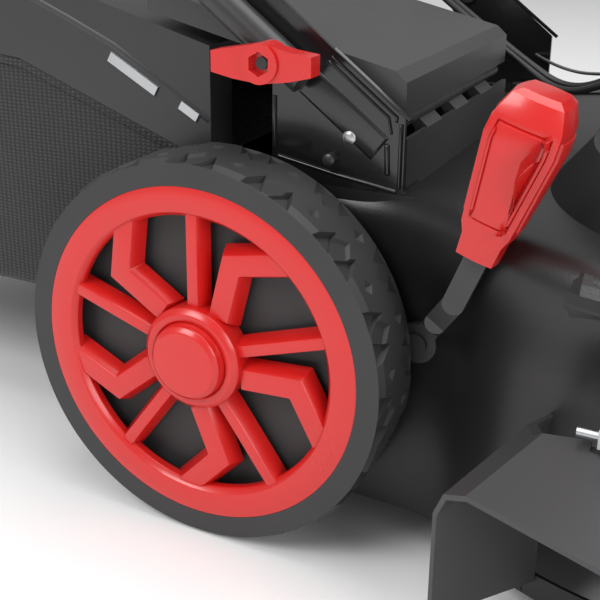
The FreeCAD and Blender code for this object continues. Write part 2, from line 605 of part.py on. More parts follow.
def make_rotor():
    shaft = cyl((DECK_X, 0, BLADE_Z + BLADE_T), (0, 0, 1), SHAFT_R, SHROUD_Z1 - 30 - BLADE_Z - BLADE_T)
    keep("crankshaft", shaft)
    wheel = ring((DECK_X, 0, SHROUD_Z0 + 6), (0, 0, 1), 88, SHAFT_R, 14)
    for k in range(12):
        a = math.radians(30 * k)
        fin = box(48, 86, -1.5, 1.5, SHROUD_Z0 + 20, SHROUD_Z0 + 36)
        fin.rotate(V(0, 0, 0), V(0, 0, 1), math.degrees(a))
        fin.translate(V(DECK_X, 0, 0))
        wheel = wheel.fuse(fin)
    keep("flywheel", wheel.removeSplitter())
    adapter = ring((DECK_X, 0, BLADE_Z + BLADE_T), (0, 0, 1), 24, SHAFT_R, 40)
    adapter = adapter.fuse(ring((DECK_X, 0, BLADE_Z + BLADE_T), (0, 0, 1), 38, SHAFT_R, 6))
    keep("blade_adapter", adapter.removeSplitter())
    w = BLADE_W / 2
    blade = box(-BLADE_R + 20, BLADE_R - 20, -w, w, BLADE_Z, BLADE_Z + BLADE_T)
    round_off = cyl((0, 0, BLADE_Z - 1), (0, 0, 1), BLADE_R, BLADE_T + 40)
    for s in (1, -1):
        lift = cross_plate([(-s * w, BLADE_Z), (-s * (w - 4), BLADE_Z), (-s * (w - 12), BLADE_Z + 16),
                            (-s * (w - 8), BLADE_Z + 16)] if s > 0 else
                           [(w, BLADE_Z), (w - 4, BLADE_Z), (w - 12, BLADE_Z + 16), (w - 8, BLADE_Z + 16)],
                           s * 150, s * 236)
        blade = blade.fuse(lift)
    blade = blade.common(round_off).cut(cyl((0, 0, BLADE_Z - 5), (0, 0, 1), 5.5, 40))
    blade.translate(V(DECK_X, 0, 0))
    keep("blade", blade.removeSplitter())
    head = hexagon(V(DECK_X, 0, BLADE_Z - 9), (0, 0, 1), 10, 9)
    screw = head.fuse(cyl((DECK_X, 0, BLADE_Z - 1), (0, 0, 1), 5.2, BLADE_T + 1))
    keep("blade_bolt", screw.removeSplitter())


def make_covers():
    wall = 2.5
    outer = rounded_can(SHROUD_R, SHROUD_Z0, SHROUD_Z1, 14)
    outer = outer.fuse(box(DECK_X + 40, HEAD_X + 6, -72, 72, SHROUD_Z0, SHROUD_Z1 - 16))
    inner = rounded_can(SHROUD_R - wall, SHROUD_Z0 - 1, SHROUD_Z1 - wall, 12)
    inner = inner.fuse(box(DECK_X, HEAD_X + 6 - wall, -72 + wall, 72 - wall,
                           SHROUD_Z0 - 1, SHROUD_Z1 - 16 - wall))
    shell = outer.cut(inner)
    shell = shell.cut(cyl((DECK_X, 0, SHROUD_Z1 - 10), (0, 0, 1), 74, 20))
    keep("blower_housing", shell.removeSplitter())
    dome = rounded_can(92, SHROUD_Z1, RECOIL_Z1, 12)
    dome = dome.cut(rounded_can(89.5, SHROUD_Z1 - 1, RECOIL_Z1 - wall, 11))
    for k in range(20):
        slot = box(50, 76, -2.2, 2.2, RECOIL_Z1 - 8, RECOIL_Z1 + 2)
        slot.rotate(V(0, 0, 0), V(0, 0, 1), 18 * k)
        slot.translate(V(DECK_X, 0, 0))
        dome = dome.cut(slot)
    dome = dome.cut(Part.makeCylinder(4.5, 40, V(DECK_X, 0, ROPE_Z) + ROPE_OUT * 75, ROPE_OUT))
    keep("recoil_housing", dome)


ROPE_Z = SHROUD_Z1 + 15.0
ROPE_OUT = V(math.cos(math.radians(135)), math.sin(math.radians(135)), 0)     # where the rope comes out


def rounded_can(r, z0, z1, edge):
    """A cylinder over the crankshaft with a bevelled top edge."""
    return turned([(0, z0), (r, z0), (r, z1 - edge), (r - edge * 0.3, z1 - edge * 0.3), (r - edge, z1), (0, z1)],
                  (DECK_X, 0, 0))


FILLER = (DECK_X - 40, 141.0)          # fuel filler, x and y


def make_fuel():
    tank = box(DECK_X - 108, DECK_X + 30, 80, 166, PLINTH_Z + 60, PLINTH_Z + 150)
    tank = tank.makeFillet(14, tank.Edges)
    tank = tank.cut(cyl((DECK_X, 0, PLINTH_Z), (0, 0, 1), SHROUD_R + FIT, 300))
    x, y = FILLER
    neck = ring((x, y, PLINTH_Z + 140), (0, 0, 1), 16, 12, 20)
    tank = tank.fuse(neck).cut(cyl((x, y, PLINTH_Z + 130), (0, 0, 1), 12, 40))
    keep("fuel_tank", tank.removeSplitter())
    cap = cyl((x, y, PLINTH_Z + 151), (0, 0, 1), 21.5, 16)
    cap = cap.cut(cyl((x, y, PLINTH_Z + 150.5), (0, 0, 1), 16 + FIT, 9.8))
    for k in range(12):
        a = math.radians(30 * k)
        cap = cap.cut(cyl((x + 22.5 * math.cos(a), y + 22.5 * math.sin(a), PLINTH_Z + 150), (0, 0, 1), 2.2, 20))
    keep("fuel_cap", cap)


def make_muffler():
    can = box(DECK_X + 62, DECK_X + 142, -132, -76, PLINTH_Z + 14, PLINTH_Z + 84)
    can = can.makeFillet(12, can.Edges)
    pipe_in = cyl((DECK_X + 100, -78, PLINTH_Z + 46), (0, 1, 0), 11, 22)
    can = can.fuse(pipe_in)
    keep("muffler", can.removeSplitter())
    guard = box(DECK_X + 54, DECK_X + 150, -142, -74, PLINTH_Z + FIT, PLINTH_Z + 94)
    guard = guard.cut(box(DECK_X + 57, DECK_X + 147, -139, -70, PLINTH_Z + 7, PLINTH_Z + 91))
    for k in range(6):
        z = PLINTH_Z + 18 + 12 * k
        guard = guard.cut(box(DECK_X + 66, DECK_X + 138, -150, -135, z, z + 6))
    keep("muffler_guard", guard)


PRIMER_PRESS = 4.0


def make_intake():
    body = box(DECK_X + 58, DECK_X + 126, 76, 150, PLINTH_Z + 18, PLINTH_Z + 92)
    body = body.makeFillet(10, body.Edges)
    stub = cyl((DECK_X + 92, 56, PLINTH_Z + 46), (0, 1, 0), 12, 26)
    body = body.fuse(stub).cut(cyl((DECK_X + 92, 140 - PRIMER_PRESS, PLINTH_Z + 40), (0, 1, 0), 9.5, 25))
    keep("air_filter_cover", body.removeSplitter())
    bulb = cyl((DECK_X + 92, 140 + FIT, PLINTH_Z + 40), (0, 1, 0), 9.2, 13)
    bulb = bulb.fuse(Part.makeSphere(9.2, V(DECK_X + 92, 153 + FIT, PLINTH_Z + 40)))
    keep("primer_bulb", bulb.removeSplitter())


def make_oil_and_spark():
    out = V(-0.3, -0.95, 0).normalize()
    elbow = V(*SPOUT) + out * 72
    top = elbow + V(-6, -6, 92)
    keep("oil_filler_tube", pipe([tuple(V(*SPOUT) + out * 16), tuple(elbow), tuple(top)], 16, 8.8, 6))
    d = (top - elbow).normalize()
    cap = Part.makeCylinder(13, 12, top + d * FIT, d)
    cap = cap.fuse(Part.makeCylinder(5.2, 24, top - d * 22, d))
    cap = cap.fuse(Part.makeBox(24, 5, 12, V(-12, -2.5, 0)).translate(top + d * 12))
    keep("dipstick_cap", cap.removeSplitter())
    print("dipstick", top, d)
    z = PLINTH_Z + 46
    plug = cyl((HEAD_X, 0, z), (1, 0, 0), 7, 10).fuse(cyl((HEAD_X + 9, 0, z), (1, 0, 0), 4.5, 24))
    boot = cyl((HEAD_X + 20, 0, z), (1, 0, 0), 9, 26).cut(cyl((HEAD_X + 19, 0, z), (1, 0, 0), 4.5, 14.2))
    lead = cord([(HEAD_X + 46, 0, z), (HEAD_X + 62, 0, z), (HEAD_X + 72, 18, z + 16), (HEAD_X + 60, 40, z + 34),
                 (HEAD_X + 34, 52, z + 46), (HEAD_X + 6, 56, z + 50)], 3.5, "spark plug lead")
    keep("spark_plug_and_lead", plug.removeSplitter(), boot, lead)


# ---------------------------------------------------------------- rear door, its panel and hinge
HINGE = (109.0, 300.0)
HINGE_R = 3.0
KNUCKLE_R = 6.0
PANEL_Z1 = 297.0


def knuckles(first):
    """Y spans of every other knuckle along the hinge."""
    count = 7
    span = (DOOR_Y1 - DOOR_Y0 - 16) / count
    y = DOOR_Y0 + 8
    return [(y + span * k + FIT, y + span * (k + 1) - FIT) for k in range(first, count, 2)]


def make_door():
    hx, hz = HINGE
    wall = 3.0
    panel = box(117, 120, DOOR_Y0, DOOR_Y1, DECK_Z1, PANEL_Z1 - 6)
    panel = panel.fuse(box(30, 120, DOOR_Y0, DOOR_Y0 + wall, DECK_Z1, PANEL_Z1 - 10))
    panel = panel.fuse(box(30, 120, DOOR_Y1 - wall, DOOR_Y1, DECK_Z1, PANEL_Z1 - 10))
    for y0, y1 in knuckles(1):
        panel = panel.fuse(side_plate([(117, PANEL_Z1 - 22), (120, PANEL_Z1 - 22), (120, PANEL_Z1 - 6),
                                       (hx + 3, hz - 2), (hx - 3, hz - 2)], y0, y1))
        panel = panel.fuse(cyl((hx, y0, hz), (0, 1, 0), KNUCKLE_R, y1 - y0))
    panel = panel.cut(cyl((hx, DOOR_Y0 - 5, hz), (0, 1, 0), HINGE_R + RUN, DOOR_Y1 - DOOR_Y0 + 10))
    panel = panel.cut(box(0, 130, -DECK_HALF, -DECK_HALF + FLANGE + FIT,
                          DECK_Z1 - 1, DECK_Z1 + BRACKET_T + 0.1))
    keep("rear_hinge_panel", panel.removeSplitter())
    outer = side_plate([(118, 306), (118, 328), (110, 335), (-80, 379), (-80, 362), (96, 320), (96, 309)],
                       DOOR_Y0, DOOR_Y1)
    inner = side_plate([(115, 300), (115, 327), (109, 331.8), (-77, 374.8), (-77, 350), (80, 300)],
                       DOOR_Y0 + wall, DOOR_Y1 - wall)
    door = outer.cut(inner)
    door = door.cut(cyl((hx, DOOR_Y0 - 1, hz), (0, 1, 0), KNUCKLE_R + FIT, DOOR_Y1 - DOOR_Y0 + 2))
    for y0, y1 in knuckles(0):
        web = side_plate([(hx - 3, hz), (hx + 4, hz), (117, 312), (117, 322), (hx - 3, 326)], y0, y1)
        door = door.fuse(web).fuse(cyl((hx, y0, hz), (0, 1, 0), KNUCKLE_R, y1 - y0))
    door = door.cut(cyl((hx, DOOR_Y0 - 5, hz), (0, 1, 0), HINGE_R + RUN, DOOR_Y1 - DOOR_Y0 + 10))
    keep("rear_door", door.removeSplitter())


def make_hinge_rods():
    hx, hz = HINGE
    door_rod = cyl((hx, DOOR_Y0 + 2, hz), (0, 1, 0), HINGE_R, DOOR_Y1 - DOOR_Y0 - 4)
    cy, cz = CHUTE_HINGE
    chute_rod = cyl((CHUTE_X0, cy, cz), (1, 0, 0), HINGE_R, CHUTE_X1 - CHUTE_X0)
    for x in (CHUTE_X0 + 12, CHUTE_X1 - 16):
        chute_rod = chute_rod.fuse(box(x, x + 4, cy - 4, cy + 60, cz - 6, cz + 6).cut(deck_envelope(0)))
    keep("hinge_rods", door_rod, chute_rod.removeSplitter())


# ---------------------------------------------------------------- side chute
CHUTE_HINGE = (-DECK_LOW_R - 19.0, 166.0)       # y and z of its hinge
CHUTE_X0, CHUTE_X1 = 262.0, 436.0               # ends of its hinge rod
CHUTE_Z0 = 36.0
CHUTE_WALL = 3.0


def deck_envelope(gap):
    """The housing's round outside, larger by gap, for trimming what stands against it."""
    return turned([(0, DECK_Z0 - 30), (DECK_LOW_R + gap, DECK_Z0 - 30), (DECK_LOW_R + gap, FLARE_Z0),
                   (DECK_TOP_R + gap, FLARE_Z1), (DECK_TOP_R + gap, DECK_Z1), (0, DECK_Z1)], (DECK_X, 0, 0))


def chute_section(a, b, z0, z1, corner):
    """A tunnel's outline between two plan points, with bevelled upper corners."""
    pa, pb = V(a[0], a[1], 0), V(b[0], b[1], 0)
    d = (pb - pa).normalize()
    c = corner
    points = [(pa, z0), (pa, z1 - c), (pa + d * (c * 0.3), z1 - c * 0.3), (pa + d * c, z1),
              (pb - d * c, z1), (pb - d * (c * 0.3), z1 - c * 0.3), (pb, z1 - c), (pb, z0)]
    corners = [V(p.x, p.y, z) for p, z in points]
    return Part.makePolygon(corners + [corners[0]])


def make_chute():
    hy, hz = CHUTE_HINGE
    w = CHUTE_WALL
    in_a, in_b = (250, -236), (462, -236)
    out_a, out_b = (192, -314), (372, -384)
    outer = Part.makeLoft([chute_section(in_a, in_b, CHUTE_Z0, 186, 26),
                           chute_section(out_a, out_b, CHUTE_Z0, 130, 22)], True, True)
    inner_end = chute_section((in_a[0] + w + 1, in_a[1] + 2), (in_b[0] - w, in_b[1] + 2),
                              CHUTE_Z0 - 5, 186 - w + 1, 24)
    outer_end = chute_section((out_a[0] + w - 1, out_a[1] - 2), (out_b[0] - w - 1, out_b[1] - 2),
                              CHUTE_Z0 - 5, 130 - w - 1, 20)
    hollow = Part.makeLoft([inner_end, outer_end],
                           True, True)
    chute = outer.cut(hollow).cut(deck_envelope(2 * FIT))
    above = box(CHUTE_X0 - 200, CHUTE_X1 + 200, hy + 5, 0, hz - 12, 300)
    chute = chute.cut(above)
    for x0, x1 in ((CHUTE_X0 + 30, CHUTE_X0 + 60), (CHUTE_X1 - 60, CHUTE_X1 - 30)):
        barrel = cyl((x0, hy, hz), (1, 0, 0), KNUCKLE_R, x1 - x0)
        web = cross_plate([(hy - 3, hz + 5), (hy + 2, hz - 5), (hy - 34, hz - 26), (hy - 38, hz - 20)], x0, x1)
        chute = chute.fuse(barrel).fuse(web)
    chute = chute.cut(cyl((CHUTE_X0 - 5, hy, hz), (1, 0, 0), HINGE_R + RUN, CHUTE_X1 - CHUTE_X0 + 10))
    chute = chute.cut(box(CHUTE_X0 + 8, CHUTE_X0 + 22, hy - 8, hy + 80, hz - 10, hz + 12))
    chute = chute.cut(box(CHUTE_X1 - 22, CHUTE_X1 - 6, hy - 8, hy + 80, hz - 10, hz + 12))
    keep("side_chute", chute.removeSplitter())


# ---------------------------------------------------------------- grass bag
BAG_WALL = 3.0
BAG_TOP = [(BAG_X0, 254), (BAG_X0, 340), (-300, 414), (-530, 428), (BAG_X1, 396), (BAG_X1, 352), (-204, 317)]
BAG_BODY = [(BAG_X0 - 6, 132), (BAG_X0 - 6, 256), (-204, 317), (BAG_X1 + 6, 352),
            (BAG_X1 + 4, 150), (BAG_X1 + 40, BAG_Z0),
            (BAG_X0 - 30, BAG_Z0)]


def make_bag():
    w = BAG_WALL
    top = side_plate(BAG_TOP, -BAG_HALF, BAG_HALF)
    hollow = side_plate([(BAG_X0 + 1, 240), (BAG_X0 + 1, 336), (-300, 410), (-528, 424), (BAG_X1 + w, 394),
                         (BAG_X1 + w, 340), (-204, 300)], -BAG_HALF + w, BAG_HALF - w)
    top = top.cut(hollow)
    front = box(BAG_X0 - w, BAG_X0, -BAG_HALF, BAG_HALF, 254, 336)
    mouth = box(BAG_X0 - 10, BAG_X0 + 10, TUNNEL_Y0 + 8, TUNNEL_Y1 - 8, 240, 322)
    top = top.fuse(front).cut(mouth)
    grip_rod = pipe([(-440, -60, 416), (-440, -60, 462), (-440, 60, 462), (-440, 60, 416)], 18, 9)
    top = top.fuse(grip_rod.cut(hollow))
    keep("bag_top", top.removeSplitter())
    body = side_plate(BAG_BODY, -BAG_HALF + w, BAG_HALF - w)
    inside = side_plate([(BAG_X0 - 6 - w, 134), (BAG_X0 - 6 - w, 262), (-204, 330), (BAG_X1 + 6 + w, 360),
                         (BAG_X1 + 4 + w, 152), (BAG_X1 + 42, BAG_Z0 + w), (BAG_X0 - 30, BAG_Z0 + w)],
                        -BAG_HALF + 2 * w, BAG_HALF - 2 * w)
    body = body.cut(inside).cut(side_plate(BAG_TOP, -BAG_HALF - 1, BAG_HALF + 1))
    body = body.cut(box(BAG_X0 - 12, BAG_X0, TUNNEL_Y0 + 8, TUNNEL_Y1 - 8, 192, 262))
    keep("bag_fabric", body.removeSplitter())


# ---------------------------------------------------------------- starter rope, cables and throttle
GUIDE_S, PULL_DEG = 330.0, 54.0
ROPE_R, CABLE_R = 2.5, 3.0


def make_starter():
    """The T grip, the rope, and the guide eye that the grip parks on; returns the eye."""
    d = V(-math.cos(math.radians(PULL_DEG)), 0, math.sin(math.radians(PULL_DEG)))
    above = V(UP[1], 0, -UP[0])
    on_tube = V(*handle_point(GUIDE_S, TUBE_Y))
    centre = on_tube - V(0, TUBE_R + 14, 0) + above * 13
    eye = Part.makeTorus(8, 2.4, centre, d)
    to_tube = on_tube - centre
    reach = to_tube.Length - TUBE_R - 8
    stem = Part.makeCylinder(2.0, reach, centre + to_tube.normalize() * 8, to_tube)
    start = centre + d * (2.4 + FIT)
    bar_end = start + d * 30
    handle = Part.makeCylinder(11, 84, bar_end - V(0, 74, 0), V(0, 1, 0))
    handle = handle.fuse(Part.makeCone(7, 9, 30, start, d))
    handle = handle.cut(Part.makeCylinder(ROPE_R + RUN, 20, start - d * 2, d))
    keep("starter_grip", handle.removeSplitter())
    begin = V(DECK_X, 0, ROPE_Z) + ROPE_OUT * 93
    rope_points = [tuple(begin), tuple(centre - d * 26 + V(6, -5, 0)), tuple(centre + d * 2)]
    keep("starter_rope", cord(rope_points, ROPE_R, "starter rope"))
    print("starter guide", centre, "axis", d)
    return eye.fuse(stem).removeSplitter()


def make_cables():
    """Two sheathed cables from the handle down to the engine, and the bare wire of the engine brake."""
    under = -TUBE_R - 5.0
    high = TUBE_Y - TUBE_R - CABLE_R - FIT
    solids = []
    ends = ((0.0, (255.8, 30, 330), "brake cable"), (7.0, (248.6, 6, 322), "throttle cable"))
    for shift, end, name in ends:
        pts = [handle_point(JOINT_S + 250 - 2 * shift, UPPER_Y + 2 - shift, under),
               handle_point(JOINT_S + 110, UPPER_Y + 2 - shift, under),
               handle_point(JOINT_S - 90, high - shift, under + 3),
               handle_point(JOINT_S - 250, high - shift, under + 3),
               handle_point(240, high - shift, under + 3),
               handle_point(130, high - 8 - 2 * shift, under + 4),
               (4, 142 - 2 * shift, 366), (72, 100 - 2 * shift, 332), (128, 72 - 2 * shift, 302),
               (168, 56 - 3 * shift, 284), (206, 44 - 3 * shift, 298), end]
        solids.append(cord(pts, CABLE_R, name))
    wire = cord([(108, 190, 288), (146, 142, 283), (200, 86, 294), (264.2, 43, 312)], 1.5, "brake wire")
    keep("control_cables", *solids, wire)


def make_throttle():
    """A small lever on a clip on the right upper tube."""
    x, z = along(HANDLE_FOOT, JOINT_S + 235)
    y = -UPPER_Y + TUBE_R + FIT
    top = along((x, z), 0, 48)
    blade = bar((x, y + 4, z), (top[0], y + 4, top[1]), 12, 5)
    pin = cyl((x, y, z), (0, 1, 0), 9, 9)
    knob = cyl((top[0], y, top[1]), (0, 1, 0), 11, 12)
    keep("throttle_lever", blade.fuse(pin).fuse(knob).removeSplitter())


def finish():
    """Stand the whole mower on the origin: the middle of its box on the ground."""
    b = FreeCAD.BoundBox()
    for shape in NODES.values():
        for point in shape.tessellate(0.1)[0]:
            b.add(point)
    shift = V(-(b.XMin + b.XMax) / 2, -(b.YMin + b.YMax) / 2, -b.ZMin)
    print("nodes", len(NODES), "box", round(b.XLength, 2), round(b.YLength, 2), round(b.ZLength, 2))
    print("shift", shift.x, shift.y, shift.z)
    for name, shape in NODES.items():
        moved = shape.copy()
        moved.translate(shift)
        bad = [s for s in moved.Solids if not s.isValid()]
        if bad or not moved.Solids:
            print("NOT VALID", name, len(moved.Solids))
        moved.exportStep("parts/" + name + ".step")


make_deck()
make_brackets()
make_foot_bolts()
make_pivot_bolts()
make_axle("rear", REAR_HUB, (0.0, REAR_R), REAR_Y, REAR_W, REAR_LEVER, (0.0, REAR_R))
make_axle("front", FRONT_HUB, (FRONT_X, FRONT_R), FRONT_Y, FRONT_W, FRONT_LEVER, FRONT_HUB)
make_grips()
make_quadrants()
make_wheels()
make_lower_handle()
make_upper_handle()
make_handle_bolts()
make_knobs()
make_bail()
make_engine()
make_rotor()
make_covers()
make_fuel()
make_muffler()
make_intake()
make_oil_and_spark()
make_door()
make_hinge_rods()
make_chute()
make_bag()
make_cables()
make_throttle()
finish()
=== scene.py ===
# %% [markdown]
# # A walk-behind lawn mower, dressed around its CAD frame
# The CAD model already holds every hard part at its real size. This lesson gives each part its real
# finish, and models the pieces whose looks a plain solid can't carry: the tyres' tread, the woven
# grass bag, and the rope and cables, which on the real mower bend when the handle folds.

# %% Load the frame
import math
import bmesh
import bpy
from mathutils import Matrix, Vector


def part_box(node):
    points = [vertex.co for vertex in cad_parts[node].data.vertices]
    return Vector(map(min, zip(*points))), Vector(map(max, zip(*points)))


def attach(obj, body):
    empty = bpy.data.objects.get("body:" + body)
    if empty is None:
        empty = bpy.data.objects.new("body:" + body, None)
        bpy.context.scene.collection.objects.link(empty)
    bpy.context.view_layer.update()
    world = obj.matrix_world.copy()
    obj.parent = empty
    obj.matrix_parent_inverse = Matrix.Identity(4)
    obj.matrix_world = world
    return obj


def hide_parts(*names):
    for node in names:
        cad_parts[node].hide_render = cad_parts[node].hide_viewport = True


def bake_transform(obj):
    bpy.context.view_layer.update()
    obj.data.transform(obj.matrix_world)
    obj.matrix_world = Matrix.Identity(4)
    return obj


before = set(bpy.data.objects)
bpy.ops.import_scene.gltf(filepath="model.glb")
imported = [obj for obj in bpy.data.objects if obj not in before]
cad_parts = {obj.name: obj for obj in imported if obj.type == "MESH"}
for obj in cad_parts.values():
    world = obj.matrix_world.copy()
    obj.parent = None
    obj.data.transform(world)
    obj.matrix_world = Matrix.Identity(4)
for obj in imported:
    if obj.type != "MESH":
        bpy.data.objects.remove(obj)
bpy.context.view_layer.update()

# %% [markdown]
# ## Working in edit mode from a script
# Operators act on whatever is selected, and the imported parts start out selected. So each piece
# begins by deselecting everything. Faces are then picked by a test on their place or direction,
# which says in words what a hand would click.


# %% Helpers for picking and finishing
def fresh(name):
    """Names the primitive that was just added, puts its place in its mesh, and returns it."""
    piece = bpy.context.object
    piece.name = name
    piece.data.name = name
    bpy.ops.object.transform_apply(location=True, rotation=True, scale=True)
    return piece


def nothing_selected():
    bpy.ops.object.select_all(action="DESELECT")


def pick(piece, kind, test):
    """In edit mode, selects the faces, edges or vertices for which test is true."""
    bpy.ops.mesh.select_mode(type={"faces": "FACE", "edges": "EDGE", "verts": "VERT"}[kind])
    bpy.ops.mesh.select_all(action="DESELECT")
    mesh = bmesh.from_edit_mesh(piece.data)
    count = 0
    for item in getattr(mesh, kind):
        if test(item):
            item.select_set(True)
            count += 1
    mesh.select_flush_mode()
    bmesh.update_edit_mesh(piece.data)
    return count


def middle(edge):
    return (edge.verts[0].co + edge.verts[1].co) / 2


def apply_modifier(piece, kind, **settings):
    bpy.context.view_layer.objects.active = piece
    modifier = piece.modifiers.new(kind.lower(), kind)
    for key, value in settings.items():
        setattr(modifier, key, value)
    bpy.ops.object.modifier_apply(modifier=modifier.name)


def smooth(piece, degrees=35):
    nothing_selected()
    piece.select_set(True)
    bpy.context.view_layer.objects.active = piece
    bpy.ops.object.shade_smooth_by_angle(angle=math.radians(degrees))


def duplicate(piece, name, offset):
    """A copy with its own mesh, moved by offset within the mesh."""
    copy = piece.copy()
    copy.data = piece.data.copy()
    copy.name = name
    copy.data.name = name
    bpy.context.collection.objects.link(copy)
    for vertex in copy.data.vertices:
        vertex.co += offset
    return copy


# %% [markdown]
# ## Finishes
# Every finish starts from the same few questions: what colour is it, how shiny, what grain does the
# surface have, and where has it rubbed or gathered dust. One helper lays down those layers with
# noise at the real scale, so that each finish below only states its own numbers.


# %% A helper that builds a finish
def finish(name, colour, rough, grain_mm, bump, vary=0.12, metallic=0.0, rough_vary=0.08, coat=0.0,
           dust=0.0, stretch=(1, 1, 1)):
    """A moulded, painted or cast surface: base colour, fine grain as bump, slow colour drift, dust."""
    material = bpy.data.materials.new(name)
    material.use_nodes = True
    nodes, links = material.node_tree.nodes, material.node_tree.links
    shader = nodes["Principled BSDF"]
    shader.inputs["Metallic"].default_value = metallic
    shader.inputs["Coat Weight"].default_value = coat
    shader.inputs["Coat Roughness"].default_value = 0.12
    place = nodes.new("ShaderNodeTexCoord")
    mapping = nodes.new("ShaderNodeMapping")
    mapping.inputs["Scale"].default_value = stretch
    links.new(place.outputs["Object"], mapping.inputs["Vector"])

    grain = nodes.new("ShaderNodeTexNoise")
    grain.inputs["Scale"].default_value = 1000 / grain_mm
    grain.inputs["Detail"].default_value = 3
    links.new(mapping.outputs["Vector"], grain.inputs["Vector"])
    slow = nodes.new("ShaderNodeTexNoise")
    slow.inputs["Scale"].default_value = 14
    slow.inputs["Detail"].default_value = 5
    links.new(mapping.outputs["Vector"], slow.inputs["Vector"])

    drift = nodes.new("ShaderNodeMix")
    drift.data_type = "RGBA"
    darker = [c * (1 - vary) for c in colour]
    lighter = [min(1, c * (1 + vary) + dust) for c in colour]
    drift.inputs["A"].default_value = (*darker, 1)
    drift.inputs["B"].default_value = (*lighter, 1)
    links.new(slow.outputs["Fac"], drift.inputs["Factor"])
    links.new(drift.outputs["Result"], shader.inputs["Base Color"])

    shine = nodes.new("ShaderNodeMapRange")
    shine.inputs["To Min"].default_value = rough - rough_vary
    shine.inputs["To Max"].default_value = rough + rough_vary
    links.new(slow.outputs["Fac"], shine.inputs["Value"])
    links.new(shine.outputs["Result"], shader.inputs["Roughness"])

    relief = nodes.new("ShaderNodeBump")
    relief.inputs["Strength"].default_value = bump
    relief.inputs["Distance"].default_value = grain_mm / 4000
    links.new(grain.outputs["Fac"], relief.inputs["Height"])
    links.new(relief.outputs["Normal"], shader.inputs["Normal"])
    return material


# %% [markdown]
# The mower wears ten finishes. The deck's paint is rough and faintly pebbled, the brackets' is
# smooth and glossy. The mouldings are a fine-grained dark plastic, and everything the hand reaches
# for is red. The tyres are a dry, dark grey rubber.

# %% The mower's hard finishes
DECK_PAINT = finish("deck_textured_paint", (0.008, 0.008, 0.0085), 0.38, 1.3, 0.35, dust=0.004)
GLOSS_PAINT = finish("bracket_gloss_paint", (0.008, 0.008, 0.009), 0.2, 6, 0.06, coat=0.35)
TUBE_PAINT = finish("handle_powder_coat", (0.03, 0.03, 0.031), 0.36, 1.6, 0.12)
DARK_PLASTIC = finish("grained_dark_plastic", (0.038, 0.038, 0.04), 0.44, 0.9, 0.22, dust=0.004)
SHELL_PLASTIC = finish("bag_shell_plastic", (0.03, 0.03, 0.032), 0.4, 1.1, 0.2)
RED_PLASTIC = finish("red_plastic", (0.56, 0.012, 0.010), 0.3, 2.2, 0.05, vary=0.05, coat=0.25)
RUBBER = finish("tyre_rubber", (0.026, 0.026, 0.027), 0.62, 0.8, 0.3, vary=0.2, dust=0.006)
HUB_PLASTIC = finish("wheel_core_plastic", (0.028, 0.028, 0.029), 0.55, 1.0, 0.2)
ZINC = finish("zinc_plate", (0.52, 0.53, 0.54), 0.32, 0.5, 0.1, metallic=1.0, vary=0.15)
DARK_ZINC = finish("black_bolts", (0.05, 0.05, 0.052), 0.35, 0.6, 0.1, metallic=0.6)
CAST = finish("sand_cast_aluminium", (0.42, 0.42, 0.43), 0.5, 1.5, 0.6, metallic=1.0, vary=0.2)
BLADE_STEEL = finish("blade_steel", (0.35, 0.35, 0.36), 0.4, 0.7, 0.25, metallic=1.0, stretch=(0.1, 1, 1))
PRIMER_RED = finish("primer_rubber", (0.5, 0.02, 0.02), 0.5, 1.0, 0.1)
CABLE_BLACK = finish("cable_sheath", (0.015, 0.015, 0.016), 0.4, 0.9, 0.08)
print("finishes", len(bpy.data.materials))


# %% [markdown]
# ## Dressing the CAD parts
# Each imported part has one material slot. A list of words from the parts' names says which finish
# it wears. The first word that matches wins, so the special cases come first.

# %% Give every CAD part its finish
FINISH_BY_WORD = [
    ("tyre", RUBBER), ("wheel_cover", RED_PLASTIC), ("wheel_core", HUB_PLASTIC),
    ("lever_grip", RED_PLASTIC), ("knob", RED_PLASTIC), ("primer", PRIMER_RED), ("cables", CABLE_BLACK),
    ("starter_rope", CABLE_BLACK), ("starter_grip", DARK_PLASTIC), ("bag_top", SHELL_PLASTIC),
    ("bag_fabric", SHELL_PLASTIC), ("height_quadrants", DARK_ZINC), ("deck_bolts", DARK_ZINC),
    ("pivot_bolts", DARK_ZINC), ("handle_bolts", DARK_ZINC), ("bushes", ZINC), ("hinge_rods", ZINC),
    ("fold_bolts", DARK_ZINC), ("muffler", ZINC), ("engine_block", CAST), ("flywheel", CAST),
    ("blade", BLADE_STEEL), ("crankshaft", ZINC), ("spark", CABLE_BLACK), ("axle", TUBE_PAINT),
    ("bracket", GLOSS_PAINT), ("deck_shell", DECK_PAINT), ("handle", TUBE_PAINT), ("bail", TUBE_PAINT),
    ("filler_tube", TUBE_PAINT), ("", DARK_PLASTIC),
]
for name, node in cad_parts.items():
    chosen = next(material for word, material in FINISH_BY_WORD if word in name)
    node.data.materials.clear()
    node.data.materials.append(chosen)
print("dressed", len(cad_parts), "parts")


# %% [markdown]
# ## Tyres
# A mower tyre is a flat band of rubber with a smooth side ring. Its grip comes from three-cornered
# pockets that open towards the edges, each with a low rib, and a row of small pyramid pits on the
# lands between them. Cutting them is how a mould maker would think of it, so the band is modelled
# first and wedge-shaped cutters are subtracted from it. The two edges are half a pitch apart.

# %% Tyre proportions
TREAD_WIDTH = 0.018
SHOULDER_DROP = 0.0026
SHOULDER_WIDE = 0.0050
POCKETS = 15
POCKET_DEEP = 0.0046
RIB_DROP = 0.0022
PIT_R = 0.0062


